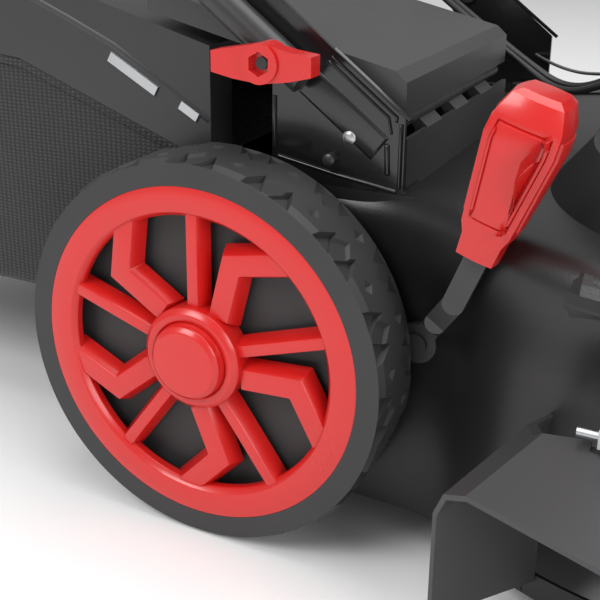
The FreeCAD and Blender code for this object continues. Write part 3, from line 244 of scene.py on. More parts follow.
# %% The band, its cutters and the finished tyre
def tyre_band(name, centre, radius, width):
    """A ring with sloping shoulders, from a cylinder whose ends are drawn out and pierced."""
    nothing_selected()
    bpy.ops.mesh.primitive_cylinder_add(vertices=150, radius=radius, depth=width - 2 * SHOULDER_WIDE,
                                        location=centre, rotation=(math.pi / 2, 0, 0))
    band = fresh(name)
    bpy.ops.object.mode_set(mode="EDIT")
    for side in (-1, 1):
        pick(band, "faces", lambda f: f.normal.y * side > 0.9)
        bpy.ops.mesh.extrude_region_move(TRANSFORM_OT_translate={"value": (0, side * SHOULDER_WIDE, 0)})
        bpy.ops.transform.resize(value=(1 - SHOULDER_DROP / radius,) * 3, center_override=
                                 (centre[0], centre[1] + side * width / 2, centre[2]))
        bpy.ops.mesh.inset(thickness=TREAD_WIDTH - SHOULDER_DROP)
    pick(band, "faces", lambda f: abs(f.normal.y) > 0.9 and len(f.verts) > 10)
    bpy.ops.mesh.delete(type="ONLY_FACE")
    inner = radius - TREAD_WIDTH
    pick(band, "edges", lambda e: len(e.link_faces) == 1)
    bpy.ops.mesh.bridge_edge_loops()
    bpy.ops.mesh.select_all(action="SELECT")
    bpy.ops.mesh.normals_make_consistent(inside=False)
    bpy.ops.object.mode_set(mode="OBJECT")
    print(name, "band radius", round(radius, 4), "inner", round(inner, 4))
    return band


def wedge(corners, reach_x, reach_y, deep, apex=False):
    """A cutter with sloping sides: wide above the tread, narrower at the bottom of the cut."""
    nothing_selected()
    bpy.ops.mesh.primitive_cone_add(vertices=corners, radius1=0.0 if apex else 0.8, radius2=1.12,
                                    depth=deep + 0.001, location=(0, 0, (0.001 - deep) / 2))
    cutter = fresh("cutter")
    cutter.scale = (reach_x, reach_y, 1)
    bpy.ops.object.transform_apply(scale=True)
    return cutter


def around(cutter, count, start, radius, centre, y, flip=1):
    """Copies of a cutter set round the tread, joined into one object."""
    copies = []
    for k in range(count):
        turn = start + 2 * math.pi * k / count
        copy = duplicate(cutter, "cutter_copy", Vector((0, 0, 0)))
        copy.scale = (1, flip, 1)
        copy.rotation_euler = (0, turn, 0)
        copy.location = (centre[0] + radius * math.sin(turn), y, centre[2] + radius * math.cos(turn))
        copies.append(copy)
    bpy.data.objects.remove(cutter)
    nothing_selected()
    for copy in copies:
        copy.select_set(True)
    bpy.context.view_layer.objects.active = copies[0]
    bpy.ops.object.join()
    joined = bpy.context.object
    bpy.ops.object.transform_apply(location=True, rotation=True, scale=True)
    bpy.ops.object.mode_set(mode="EDIT")
    bpy.ops.mesh.select_all(action="SELECT")
    bpy.ops.mesh.normals_make_consistent(inside=False)
    bpy.ops.object.mode_set(mode="OBJECT")
    return joined


def cut_with(piece, cutter):
    apply_modifier(piece, "BOOLEAN", operation="DIFFERENCE", solver="EXACT", object=cutter)
    bpy.data.objects.remove(cutter)


def make_tyre(name, node):
    low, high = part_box(node)
    centre = [(a + b) / 2 for a, b in zip(low, high)]
    radius, width = (high[2] - low[2]) / 2, high[1] - low[1]
    tyre = tyre_band(name, centre, radius, width)
    pitch = 2 * math.pi / POCKETS
    half = pitch * radius / 2
    for side in (-1, 1):
        edge = centre[1] + side * width / 2
        start = 0 if side < 0 else pitch / 2
        inward = -side
        floor = wedge(3, half * 0.78, 0.0170, RIB_DROP)
        cut_with(tyre, around(floor, POCKETS, start, radius, centre, edge + inward * 0.0075, inward))
        for lean in (-1, 1):
            deep = wedge(3, half * 0.34, 0.0128, POCKET_DEEP)
            shift = lean * half * 0.36 / radius
            cut_with(tyre, around(deep, POCKETS, start + shift, radius, centre, edge + inward * 0.0062, inward))
        pit = wedge(4, PIT_R, PIT_R, 0.004, apex=True)
        cut_with(tyre, around(pit, POCKETS, start + pitch / 2, radius, centre, edge + inward * 0.0165, inward))
    tyre.data.materials.clear()
    tyre.data.materials.append(RUBBER)
    smooth(tyre, 25)
    print(name, "faces", len(tyre.data.polygons))
    return tyre


# %% Four tyres, modelled in two sizes
for end in ("rear", "front"):
    right_node, left_node = end + "_right_wheel_tyre", end + "_left_wheel_tyre"
    right = make_tyre(end + "_right_tyre_tread", right_node)
    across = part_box(left_node)[0][1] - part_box(right_node)[0][1]
    left = duplicate(right, end + "_left_tyre_tread", Vector((0, across, 0)))
    for piece, node, body in ((right, right_node, end + "_right_wheel"), (left, left_node, end + "_left_wheel")):
        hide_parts(node)
        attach(piece, body)


# %% [markdown]
# ## Raised strips
# Spokes, pressed channels and ridges have one thing in common: a strip with sloping sides, standing
# proud of what is behind it. A one-row grid is laid along the strip's line, with mitred corners, and
# then inset and raised in one step, which gives the sloping sides that let a moulding leave its tool.

# %% A helper for raised strips
def mitred(points, half):
    """Left and right points of a strip of that half width along points, in the x-z plane."""
    rails = []
    for i, p in enumerate(points):
        before = (p - points[i - 1]).normalized() if i else None
        after = (points[i + 1] - p).normalized() if i + 1 < len(points) else None
        along = ((before or after) + (after or before)).normalized()
        side = Vector((-along.y, along.x))
        stretch = 1 / max(0.4, side.dot(Vector((-(after or before).y, (after or before).x))))
        rails.append((p + side * half * stretch, p - side * half * stretch))
    return rails


def strip(name, points, width, back_y, rise, slope, outward=-1):
    """A closed raised strip along points (x, z), standing from back_y outward by rise."""
    count = len(points)
    nothing_selected()
    bpy.ops.mesh.primitive_grid_add(x_subdivisions=count - 1, y_subdivisions=1, size=2)
    piece = fresh(name)
    rails = mitred([Vector(p) for p in points], width / 2)
    for vertex in piece.data.vertices:
        step = round((vertex.co.x + 1) / 2 * (count - 1))
        place = rails[step][0 if vertex.co.y > 0 else 1]
        vertex.co = (place.x, back_y, place.y)
    bpy.ops.object.mode_set(mode="EDIT")
    pick(piece, "faces", lambda f: True)
    mesh = bmesh.from_edit_mesh(piece.data)
    mesh.normal_update()
    if mesh.faces.active is None:
        mesh.faces.ensure_lookup_table()
    if mesh.faces[0].normal.y * outward < 0:
        bpy.ops.mesh.flip_normals()
    bpy.ops.mesh.inset(thickness=slope, depth=rise)
    pick(piece, "edges", lambda e: len(e.link_faces) == 1)
    bpy.ops.mesh.edge_face_add()
    bpy.ops.mesh.select_all(action="SELECT")
    bpy.ops.mesh.normals_make_consistent(inside=False)
    bpy.ops.object.mode_set(mode="OBJECT")
    return piece


def join(name, pieces, material):
    nothing_selected()
    for piece in pieces:
        piece.select_set(True)
    bpy.context.view_layer.objects.active = pieces[0]
    if len(pieces) > 1:
        bpy.ops.object.join()
    whole = bpy.context.view_layer.objects.active
    whole.name = name
    whole.data.name = name
    whole.data.materials.clear()
    whole.data.materials.append(material)
    return whole


def mirrored_copy(piece, name, plane_y):
    copy = duplicate(piece, name, Vector((0, 0, 0)))
    for vertex in copy.data.vertices:
        vertex.co.y = 2 * plane_y - vertex.co.y
    copy.data.flip_normals()
    return copy


def polar(radius, degrees, centre):
    a = math.radians(degrees)
    return (centre[0] + radius * math.cos(a), centre[2] + radius * math.sin(a))


# %% [markdown]
# ## Wheel covers
# The red cover has a broad outer ring, a stepped hub, five straight spokes, and five bent ones whose
# outer run follows the straight spoke beside it. The spokes stand a little behind the ring, with
# steep sloping sides, so that each one catches the light as a bright face between darker flanks.

# %% Cover proportions, as shares of the cover's radius
COVER_RING = 0.145
HUB_R, HUB_DISC = 0.305, 0.225
SPOKE_DEEP = 0.0125
KNEE = (0.64, 139.6)


def stepped_hub(name, centre, radius, face_y, k):
    """The hub: a drum with a bevelled rim, a groove, and a proud bevelled disc."""
    nothing_selected()
    bpy.ops.mesh.primitive_cylinder_add(vertices=80, radius=radius, depth=0.016,
                                        location=(centre[0], face_y + 0.008, centre[2]),
                                        rotation=(math.pi / 2, 0, 0))
    hub = fresh(name)
    bpy.ops.object.mode_set(mode="EDIT")
    pick(hub, "faces", lambda f: f.normal.y < -0.9)
    steps = ((0.004 * k, 0.0035), (0.0045 * k, 0), (0.001, -0.002), (0.001, 0.007), (0.0035 * k, 0.0028))
    for inset, rise in steps:
        bpy.ops.mesh.inset(thickness=inset, depth=rise)
    bpy.ops.object.mode_set(mode="OBJECT")
    return hub


def cover_ring(name, centre, radius, face_y, thick):
    nothing_selected()
    bpy.ops.mesh.primitive_cylinder_add(vertices=150, radius=radius, depth=thick,
                                        location=(centre[0], face_y + thick / 2, centre[2]),
                                        rotation=(math.pi / 2, 0, 0))
    ring = fresh(name)
    bpy.ops.object.mode_set(mode="EDIT")
    for side in (-1, 1):
        pick(ring, "faces", lambda f: f.normal.y * side > 0.9)
        bpy.ops.mesh.inset(thickness=radius * COVER_RING)
        if side < 0:
            bpy.ops.mesh.inset(thickness=0.0035, depth=-0.0045)
        else:
            bpy.ops.mesh.inset(thickness=0.0035)
    pick(ring, "faces", lambda f: abs(f.normal.y) > 0.9 and len(f.verts) > 10)
    bpy.ops.mesh.delete(type="ONLY_FACE")
    pick(ring, "edges", lambda e: len(e.link_faces) == 1)
    bpy.ops.mesh.bridge_edge_loops()
    bpy.ops.mesh.select_all(action="SELECT")
    bpy.ops.mesh.normals_make_consistent(inside=False)
    bpy.ops.object.mode_set(mode="OBJECT")
    return ring


def make_cover(name, node):
    low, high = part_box(node)
    tyre_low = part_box(node.replace("cover", "tyre"))[0]
    radius = (high[2] - low[2]) / 2
    centre = ((low[0] + high[0]) / 2, 0, (low[2] + high[2]) / 2)
    face = tyre_low[1]
    k = radius / 0.122
    back = face + 0.002 + SPOKE_DEEP * k
    pieces = [cover_ring(name, centre, radius, face, 0.010)]
    for turn in range(0, 360, 72):
        straight = [polar(radius * 0.25, 90 + turn, centre), polar(radius * 0.9, 90 + turn, centre)]
        pieces.append(strip("spoke", straight, 0.0165 * k, back, SPOKE_DEEP * k, 0.0042 * k))
        bent = [polar(radius * 0.27, 128 + turn, centre), polar(radius * KNEE[0], KNEE[1] + turn, centre),
                polar(radius * 0.905, 119 + turn, centre)]
        pieces.append(strip("spoke", bent, 0.0245 * k, back, SPOKE_DEEP * k, 0.005 * k))
    pieces.append(stepped_hub("hub", centre, radius * HUB_R, face - 0.001, k))
    cover = join(name, pieces, RED_PLASTIC)
    apply_modifier(cover, "BEVEL", width=0.0006 * k, segments=2, limit_method="ANGLE", angle_limit=math.radians(25))
    smooth(cover, 30)
    print(name, "faces", len(cover.data.polygons))
    return cover


# %% Four covers
for end in ("rear", "front"):
    right_node, left_node = end + "_right_wheel_cover", end + "_left_wheel_cover"
    right = make_cover(end + "_right_cover_spoked", right_node)
    left = mirrored_copy(right, end + "_left_cover_spoked", (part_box(right_node)[0][1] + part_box(left_node)[1][1]) / 2)
    for piece, node, body in ((right, right_node, end + "_right_wheel"), (left, left_node, end + "_left_wheel")):
        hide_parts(node)
        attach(piece, body)


# %% [markdown]
# ## Height lever grips
# The red grip is a tapered paddle with rounded corners. It grows from a round neck, is widest near
# the top, and ends in a sloping crown. Each side has a raised panel inside a fine groove. An
# eight-sided prism is drawn upwards section by section, the way it would be lofted by hand.

# %% Grip sections: share of the length, then half sizes along and across the mower
GRIP_SECTIONS = ((0.0, 0.0125, 0.0125), (0.13, 0.0135, 0.0135), (0.2, 0.0165, 0.0155), (0.72, 0.0225, 0.0235),
                 (0.86, 0.0215, 0.0225), (0.97, 0.0165, 0.018), (1.0, 0.012, 0.0135))
GROOVE = 0.0009


def make_grip(name, node, lean, length):
    low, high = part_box(node)
    foot = Vector((low[0] + 0.013 * math.cos(lean), (low[1] + high[1]) / 2, low[2] + 0.013 * math.sin(lean)))
    nothing_selected()
    bpy.ops.mesh.primitive_circle_add(vertices=16, radius=1, fill_type="NGON", location=(0, 0, 0))
    grip = fresh(name)
    for vertex in grip.data.vertices:
        corner = math.atan2(vertex.co.y, vertex.co.x)
        square = 1 / max(abs(math.cos(corner)), abs(math.sin(corner)))
        vertex.co *= 0.62 * square + 0.38
        vertex.co.x *= GRIP_SECTIONS[0][1]
        vertex.co.y *= GRIP_SECTIONS[0][2]
    bpy.ops.object.mode_set(mode="EDIT")
    bpy.ops.mesh.select_all(action="SELECT")
    for before, here in zip(GRIP_SECTIONS, GRIP_SECTIONS[1:]):
        rise = (here[0] - before[0]) * length
        bpy.ops.mesh.extrude_region_move(TRANSFORM_OT_translate={"value": (0, 0, rise)})
        bpy.ops.transform.resize(value=(here[1] / before[1], here[2] / before[2], 1),
                                 center_override=(0, 0, here[0] * length))
    bpy.ops.mesh.select_all(action="SELECT")
    bpy.ops.mesh.normals_make_consistent(inside=False)
    low_z, high_z = 0.2 * length, 0.87 * length
    for axis, sign in ((1, -1), (1, 1), (0, 1), (0, -1)):
        found = pick(grip, "faces", lambda f: f.normal[axis] * sign > 0.9 and low_z < f.calc_center_median().z < high_z)
        if found:
            bpy.ops.mesh.inset(thickness=0.0035)
            bpy.ops.mesh.inset(thickness=GROOVE, depth=-GROOVE * 1.3)
            bpy.ops.mesh.inset(thickness=GROOVE, depth=GROOVE * 2.2)
    bpy.ops.object.mode_set(mode="OBJECT")
    apply_modifier(grip, "BEVEL", width=0.0014, segments=3, limit_method="ANGLE", angle_limit=math.radians(28))
    for vertex in grip.data.vertices:
        x, z = vertex.co.x, vertex.co.z
        vertex.co = foot + Vector((x * math.cos(lean) + z * math.sin(lean), vertex.co.y, z * math.cos(lean) - x * math.sin(lean)))
    grip.data.materials.clear()
    grip.data.materials.append(RED_PLASTIC)
    smooth(grip, 35)
    return grip


# %% Both grips
for end, lean, length in (("rear", math.atan2(19, 60), 0.104), ("front", math.atan2(28, 53), 0.092)):
    grip = make_grip(end + "_grip_moulding", end + "_lever_grip", lean, length)
    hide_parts(end + "_lever_grip")
    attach(grip, end + "_axle")


# %% [markdown]
# ## Pressed handle brackets
# Each bracket is a sheet-steel pressing. A flat sheet this size would drum and bend, so it has a
# rolled top edge, a raised channel towards the clamp, and thin ridges along its borders. These are
# raised strips laid on the CAD plate, so the plate itself stays as it is.

# %% Where the pressing's lines run, from the handle's clamp bolt
PLATE_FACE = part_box("handle_bracket_right")[0][1]
KNOB_LOW, KNOB_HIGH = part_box("lower_knob_right")
CLAMP = Vector(((KNOB_LOW[0] + KNOB_HIGH[0]) / 2, (KNOB_LOW[2] + KNOB_HIGH[2]) / 2))
SLOPE = math.radians(37.5)
DOWN_SLOPE = Vector((math.cos(SLOPE), -math.sin(SLOPE)))
ABOVE_SLOPE = Vector((math.sin(SLOPE), math.cos(SLOPE)))


def on_plate(along, above):
    """A point of the bracket, along its slope from the clamp bolt and above that line."""
    return CLAMP + DOWN_SLOPE * along + ABOVE_SLOPE * above


def bracket_pressing(name):
    front_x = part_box("handle_bracket_right")[1][0]
    base_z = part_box("handle_bracket_right")[0][2]
    corner = Vector((front_x - 0.006, base_z + 0.048))
    lines = [
        ([on_plate(0.020, -0.004), on_plate(0.088, -0.004)], 0.021, 0.0018, 0.002),
        ([on_plate(0.024, 0.0165), on_plate(0.079, 0.0165), corner - Vector((0.003, 0.008))], 0.0024, 0.0016, 0.0008),
        ([on_plate(0.024, 0.0205), on_plate(0.083, 0.0205), corner], 0.0024, 0.0016, 0.0008),
        ([on_plate(0.022, 0.0255), on_plate(0.092, 0.0255)], 0.0036, 0.0026, 0.0012),
        ([corner + Vector((0.0035, 0.0)), (front_x - 0.0025, base_z + 0.004)], 0.0034, 0.0022, 0.0011),
        ([corner - Vector((0.006, 0.014)), (front_x - 0.011, base_z + 0.012)], 0.0044, 0.0018, 0.0015),
        ([(front_x - 0.094, base_z + 0.058), (front_x - 0.094, base_z + 0.020)], 0.0034, 0.0022, 0.0011),
        ([(front_x - 0.092, base_z + 0.016), (front_x - 0.046, base_z + 0.008), (front_x - 0.004, base_z + 0.002)],
         0.0032, 0.0016, 0.001),
    ]
    pieces = [strip("ridge", points, width, PLATE_FACE + 0.0001, rise, slope) for points, width, rise, slope in lines]
    pressing = join(name, pieces, GLOSS_PAINT)
    apply_modifier(pressing, "BEVEL", width=0.0005, segments=2, limit_method="ANGLE", angle_limit=math.radians(20))
    smooth(pressing, 50)
    return pressing


def rivet(name, along, above, radius, rise, material):
    place = on_plate(along, above)
    nothing_selected()
    bpy.ops.mesh.primitive_cylinder_add(vertices=32, radius=radius, depth=rise, rotation=(math.pi / 2, 0, 0),
                                        location=(place.x, PLATE_FACE - rise / 2, place.y))
    head = fresh(name)
    bpy.ops.object.mode_set(mode="EDIT")
    pick(head, "faces", lambda f: f.normal.y < -0.9)
    bpy.ops.mesh.inset(thickness=radius * 0.3, depth=radius * 0.22)
    bpy.ops.mesh.inset(thickness=radius * 0.35, depth=radius * 0.08)
    bpy.ops.object.mode_set(mode="OBJECT")
    head.data.materials.clear()
    head.data.materials.append(material)
    smooth(head, 50)
    return head


# %% Pressings and rivets on both sides
middle_y = (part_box("handle_bracket_right")[0][1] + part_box("handle_bracket_left")[1][1]) / 2
right_details = [bracket_pressing("bracket_right_pressing"),
                 rivet("bracket_right_rivet", 0.0675, -0.0125, 0.0046, 0.002, ZINC),
                 rivet("bracket_right_bolt_end", 0.067, -0.033, 0.0042, 0.006, DARK_ZINC)]
for detail in right_details:
    other = mirrored_copy(detail, detail.name.replace("right", "left"), middle_y)
    for piece in (detail, other):
        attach(piece, "deck")
print("bracket details", len(right_details) * 2)


# %% [markdown]
# ## The mower's own axes
# From here on places are given the way the mower is measured in a workshop, in millimetres: forward
# of the rear axle, left of its middle, and up from the ground. The wheels' boxes give that origin.

# %% Workshop coordinates
right_tyre_low, right_tyre_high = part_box("rear_right_wheel_tyre")
left_tyre_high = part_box("rear_left_wheel_tyre")[1]
AXLE_X = (right_tyre_low[0] + right_tyre_high[0]) / 2
MIDDLE_Y = (right_tyre_low[1] + left_tyre_high[1]) / 2
MM = 0.001


def at(x, y, z):
    return Vector((AXLE_X + x * MM, MIDDLE_Y + y * MM, z * MM))


# %% [markdown]
# ## Deck pressing
# The deck is drawn from one sheet, so its side sweeps from the flat tail into the round blade
# housing without a corner, and its top edge rolls over in a soft shoulder. The CAD shell has that
# form in flat stages. A skin is laid just outside it: a grid whose columns follow the smoothed
# outline and whose rows climb the wall, roll over the shoulder and stop on the flat top.

# %% Outline and wall of the deck
DECK_CENTRE = 330
LOW = {"radius": 267, "half": 195, "corner": 160, "arc": 215}
TOP = {"radius": 288, "half": 195, "corner": 118, "arc": 254}
SKIN_OUT = 1.9
SHOULDER_R = 20
COLUMNS = (14, 20, 110)


def outline(shape, inset):
    """Points along the right side, round the front and back along the left side, smoothed."""
    radius, half = shape["radius"] - inset, shape["half"] - inset
    reach = math.sqrt(radius ** 2 - (DECK_CENTRE - shape["arc"]) ** 2)
    corners = [(62, -half), (shape["corner"], -half), (shape["arc"], -reach)]
    side = []
    for (x0, y0), (x1, y1), count in zip(corners, corners[1:], COLUMNS):
        side += [(x0 + (x1 - x0) * k / count, y0 + (y1 - y0) * k / count) for k in range(count)]
    first = math.atan2(-reach, shape["arc"] - DECK_CENTRE)
    arc = [(DECK_CENTRE + radius * math.cos(first * (1 - k / COLUMNS[2] * 2)),
            radius * math.sin(first * (1 - k / COLUMNS[2] * 2))) for k in range(COLUMNS[2] + 1)]
    other = [(x, -y) for x, y in reversed(side)]
    points = [Vector(p) for p in side + arc + other]
    for turn in range(30):
        points = ([points[0]] + [(a + b * 2 + c) / 4 for a, b, c in zip(points, points[1:], points[2:])]
                  + [points[-1]])
    return points


def wall_rows():
    """Height, share of the way from the low to the top outline, and inset, row by row."""
    rows = [(23, 0, 0), (50, 0, 0), (100, 0, 0), (150, 0, 0)]
    for k in range(1, 11):
        share = k / 10
        rows.append((168 + 67 * share, share * share * (3 - 2 * share), 0))
    for k in range(1, 10):
        turn = math.radians(90 * k / 9)
        rows.append((255.4 - SHOULDER_R * (1 - math.sin(turn)), 1, SHOULDER_R * (1 - math.cos(turn))))
    rows.append((255.4, 1, SHOULDER_R + 14))
    return rows


# %% Deck skin
def make_deck_skin():
    rows = wall_rows()
    count = COLUMNS[0] * 2 + COLUMNS[1] * 2 + COLUMNS[2] + 1
    nothing_selected()
    bpy.ops.mesh.primitive_grid_add(x_subdivisions=count - 1, y_subdivisions=len(rows) - 1, size=2)
    skin = fresh("deck_pressing")
    places = []
    for z, share, inset in rows:
        low, top = outline(LOW, inset), outline(TOP, inset)
        ring = [a.lerp(b, share) for a, b in zip(low, top)]
        for i, p in enumerate(ring):
            run = ring[min(i + 1, count - 1)] - ring[max(i - 1, 0)]
            out = Vector((run.y, -run.x)).normalized() * SKIN_OUT
            places.append(at(p.x + out.x, p.y + out.y, z))
    for vertex in skin.data.vertices:
        column = round((vertex.co.x + 1) / 2 * (count - 1))
        row = round((vertex.co.y + 1) / 2 * (len(rows) - 1))
        vertex.co = places[row * count + column]
    skin.data.flip_normals()
    skin.data.update()
    apply_modifier(skin, "SOLIDIFY", thickness=0.0012, offset=-1)
    side_hole = box_cutter((232, 420), (-330, -150), (10, 128))
    cut_with(skin, side_hole)
    skin.data.materials.clear()
    skin.data.materials.append(DECK_PAINT)
    smooth(skin, 60)
    return skin


def box_cutter(xs, ys, zs):
    low, high = at(xs[0], ys[0], zs[0]), at(xs[1], ys[1], zs[1])
    nothing_selected()
    bpy.ops.mesh.primitive_cube_add(size=1, location=(low + high) / 2)
    cutter = bpy.context.object
    cutter.scale = high - low
    return fresh("cutter")


deck_skin = make_deck_skin()
outward = sum(1 for f in deck_skin.data.polygons if (f.center - at(330, 0, 100)).dot(f.normal) > 0)
print("deck skin faces", len(deck_skin.data.polygons), "facing out", outward)
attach(deck_skin, "deck")


# %% [markdown]
# ## Grass bag
# The bag is a stiff plastic hood with a woven body hanging below it. The cloth is coated mesh, so
# it holds its box shape but bellies out between its seams and sags along the floor. A subdivided
# block is drawn to the body's outline, relaxed, pushed out by its own weight in the middle of each
# panel, rippled a little, opened at the mouth, and given a cloth's thickness.

# %% A woven mesh finish
def woven_mesh(name, pitch_mm, dark, light):
    """Upright rows of small bumps, as in coated polyester mesh."""
    material = bpy.data.materials.new(name)
    material.use_nodes = True
    nodes, links = material.node_tree.nodes, material.node_tree.links
    shader = nodes["Principled BSDF"]
    shader.inputs["Roughness"].default_value = 0.72
    shader.inputs["Sheen Weight"].default_value = 0.12
    place = nodes.new("ShaderNodeTexCoord")
    around_bag = nodes.new("ShaderNodeVectorMath")
    around_bag.operation = "DOT_PRODUCT"
    around_bag.inputs[1].default_value = (1, 1, 0)
    split = nodes.new("ShaderNodeSeparateXYZ")
    cloth = nodes.new("ShaderNodeCombineXYZ")
    links.new(place.outputs["Object"], around_bag.inputs[0])
    links.new(place.outputs["Object"], split.inputs["Vector"])
    links.new(around_bag.outputs["Value"], cloth.inputs["X"])
    links.new(split.outputs["Z"], cloth.inputs["Y"])
    waves = []
    for direction, pitch in (("X", pitch_mm), ("Y", pitch_mm * 0.62)):
        wave = nodes.new("ShaderNodeTexWave")
        wave.bands_direction = direction
        wave.inputs["Scale"].default_value = 2 * math.pi / (20 * pitch * MM)
        wave.inputs["Distortion"].default_value = 0.6
        wave.inputs["Detail"].default_value = 1
        links.new(cloth.outputs["Vector"], wave.inputs["Vector"])
        waves.append(wave)
    thread = nodes.new("ShaderNodeMath")
    thread.operation = "MULTIPLY"
    links.new(waves[0].outputs["Fac"], thread.inputs[0])
    links.new(waves[1].outputs["Fac"], thread.inputs[1])
    tone = nodes.new("ShaderNodeMix")
    tone.data_type = "RGBA"
    tone.inputs["A"].default_value = (*dark, 1)
    tone.inputs["B"].default_value = (*light, 1)
    links.new(thread.outputs["Value"], tone.inputs["Factor"])
    links.new(tone.outputs["Result"], shader.inputs["Base Color"])
    relief = nodes.new("ShaderNodeBump")
    relief.inputs["Strength"].default_value = 0.7
    relief.inputs["Distance"].default_value = 0.0008
    links.new(thread.outputs["Value"], relief.inputs["Height"])
    links.new(relief.outputs["Normal"], shader.inputs["Normal"])
    return material


BAG_MESH = woven_mesh("bag_woven_mesh", 4.6, (0.006, 0.006, 0.007), (0.04, 0.04, 0.042))

# %% The bag's woven body
BAG_FRONT, BAG_BACK, BAG_HALF = -37, -556, 181
BAG_SEAM = ((-37, 255), (-204, 315), (-556, 350))
BELLY = 6.5


def seam_height(x):
    """Height of the seam between hood and cloth at x."""
    for (x0, z0), (x1, z1) in zip(BAG_SEAM, BAG_SEAM[1:]):
        if x >= x1:
            return z0 + (z1 - z0) * (x - x0) / (x1 - x0)
    return BAG_SEAM[-1][1]


def make_bag_cloth():
    nothing_selected()
    bpy.ops.mesh.primitive_cube_add(size=2)
    cloth = fresh("bag_woven_body")
    bpy.ops.object.mode_set(mode="EDIT")
    bpy.ops.mesh.select_all(action="SELECT")
    bpy.ops.mesh.subdivide(number_cuts=30)
    bpy.ops.object.mode_set(mode="OBJECT")
    for vertex in cloth.data.vertices:
        u, v, w = vertex.co
        x = BAG_FRONT + (BAG_BACK - BAG_FRONT) * (1 - u) / 2
        bottom = 121 + 16 * max(0, abs(u) - 0.85) / 0.15
        z = bottom + (seam_height(x) - bottom) * (w + 1) / 2
        side, floor, end = abs(v) > 0.99, w < -0.99, u < -0.99
        ripple = math.sin(x * 0.045 + z * 0.02) * 0.9 + math.sin(z * 0.09 + v * 3) * 0.5
        y = v * (BAG_HALF - 5 * max(0, abs(u) - 0.9) * 10)
        if side:
            y += math.copysign(BELLY * (1 - u * u) * (1 - w * w) + ripple * (1 - w * w), v)
        if floor:
            z -= (BELLY * (1 - v * v) * (1 - u * u)) + ripple * 0.5
        if end:
            x -= 3.5 * (1 - v * v) * (1 - w * w)
        vertex.co = at(x, y, z)
    bpy.ops.object.mode_set(mode="EDIT")
    pick(cloth, "verts", lambda p: p.co.z < at(0, 0, 150).z or p.co.x < at(-530, 0, 0).x)
    bpy.ops.mesh.vertices_smooth(factor=0.5, repeat=3)
    mouth_low, mouth_high = at(-60, -154, 190), at(0, 32, 270)
    pick(cloth, "faces", lambda f: f.normal.x > 0.8 and all(
        mouth_low[i] < f.calc_center_median()[i] < mouth_high[i] for i in range(3)))
    bpy.ops.mesh.delete(type="FACE")
    bpy.ops.object.mode_set(mode="OBJECT")
    apply_modifier(cloth, "SOLIDIFY", thickness=0.0012, offset=-1)
    cloth.data.materials.clear()
    cloth.data.materials.append(BAG_MESH)
    smooth(cloth, 50)
    return cloth


bag_cloth = make_bag_cloth()
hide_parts("bag_fabric")
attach(bag_cloth, "grass_bag")
print("bag cloth", len(bag_cloth.data.polygons))


# %% [markdown]
# The hood's sides carry a long raised step with two light slots in it, and a bound seam where the
# cloth is welded on.

# %% Details of the hood
HOOD_SIDE = at(0, -185, 0).y


def on_hood(x, z):
    p = at(x, 0, z)
    return (p.x, p.z)


hood_lines = [
    ([(-46, 256), (-203, 313), (-552, 348)], 7, 1.3, 2.2, BAG_MESH, "bag_seam_binding", -185 + 1.5),
    ([(-330, 421), (-153, 351), (-113, 334), (-19 - 12, 286)], 5, 1.1, 2.2, SHELL_PLASTIC, "hood_step", -185),
    ([(-117, 326), (-75, 303)], 9, 1.6, 0.8, ZINC, "hood_slot_long", -185),
    ([(-56, 296), (-40, 287)], 8, 1.6, 0.8, ZINC, "hood_slot_short", -185),
]
for points, width, rise, slope, material, title, level in hood_lines:
    line = strip(title + "_right", [on_hood(*p) for p in points], width * MM, at(0, level, 0).y, rise * MM,
                 slope * MM)
    line = join(title + "_right", [line], material)
    smooth(line, 40)
    other = mirrored_copy(line, title + "_left", MIDDLE_Y)
    for piece in (line, other):
        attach(piece, "grass_bag")


# %% [markdown]
# ## Starter rope and cables
# These cross the handle's joints, so each is split where it changes body. Only the cables' stretch
# along the lower handle is attached to that body; the rope and the other stretches stay fixed in place.

# %% Rope and cable routes
def on_handle(s, y, side=0):
    """A point s up the handle from its foot bolt, y left of the middle, side above its line."""
    slope = math.radians(37.5)
    return (37 - s * math.cos(slope) + side * math.sin(slope), y, 341 + s * math.sin(slope) + side * math.cos(slope))


def route(name, points, radius, material):
    """A round cord on a smooth curve through listed points, made into a mesh."""
    curve = bpy.data.curves.new(name, "CURVE")
    curve.dimensions = "3D"
    line = curve.splines.new("NURBS")
    line.points.add(len(points) - 1)
    for point, place in zip(line.points, points):
        point.co = (*at(*place), 1)
    line.order_u = 3
    line.use_endpoint_u = True
    curve.bevel_depth = radius * MM
    curve.bevel_resolution = 4
    curve.resolution_u = 8
    curve.use_fill_caps = True
    cord = bpy.data.objects.new(name, curve)
    bpy.context.collection.objects.link(cord)
    nothing_selected()
    cord.select_set(True)
    bpy.context.view_layer.objects.active = cord
    bpy.ops.object.convert(target="MESH")
    cord.data.materials.clear()
    cord.data.materials.append(material)
    smooth(cord, 60)
    return cord


def braided(name, pitch_mm):
    """Fine slanted strands, for the starter rope."""
    material = finish(name, (0.05, 0.05, 0.05), 0.7, 0.9, 0.3)
    nodes, links = material.node_tree.nodes, material.node_tree.links
    strands = nodes.new("ShaderNodeTexWave")
    strands.bands_direction = "DIAGONAL"
    strands.inputs["Scale"].default_value = 2 * math.pi / (20 * pitch_mm * MM)
    relief = nodes["Bump"]
    links.new(nodes["Texture Coordinate"].outputs["Object"], strands.inputs["Vector"])
    links.new(strands.outputs["Fac"], relief.inputs["Height"])
    return material


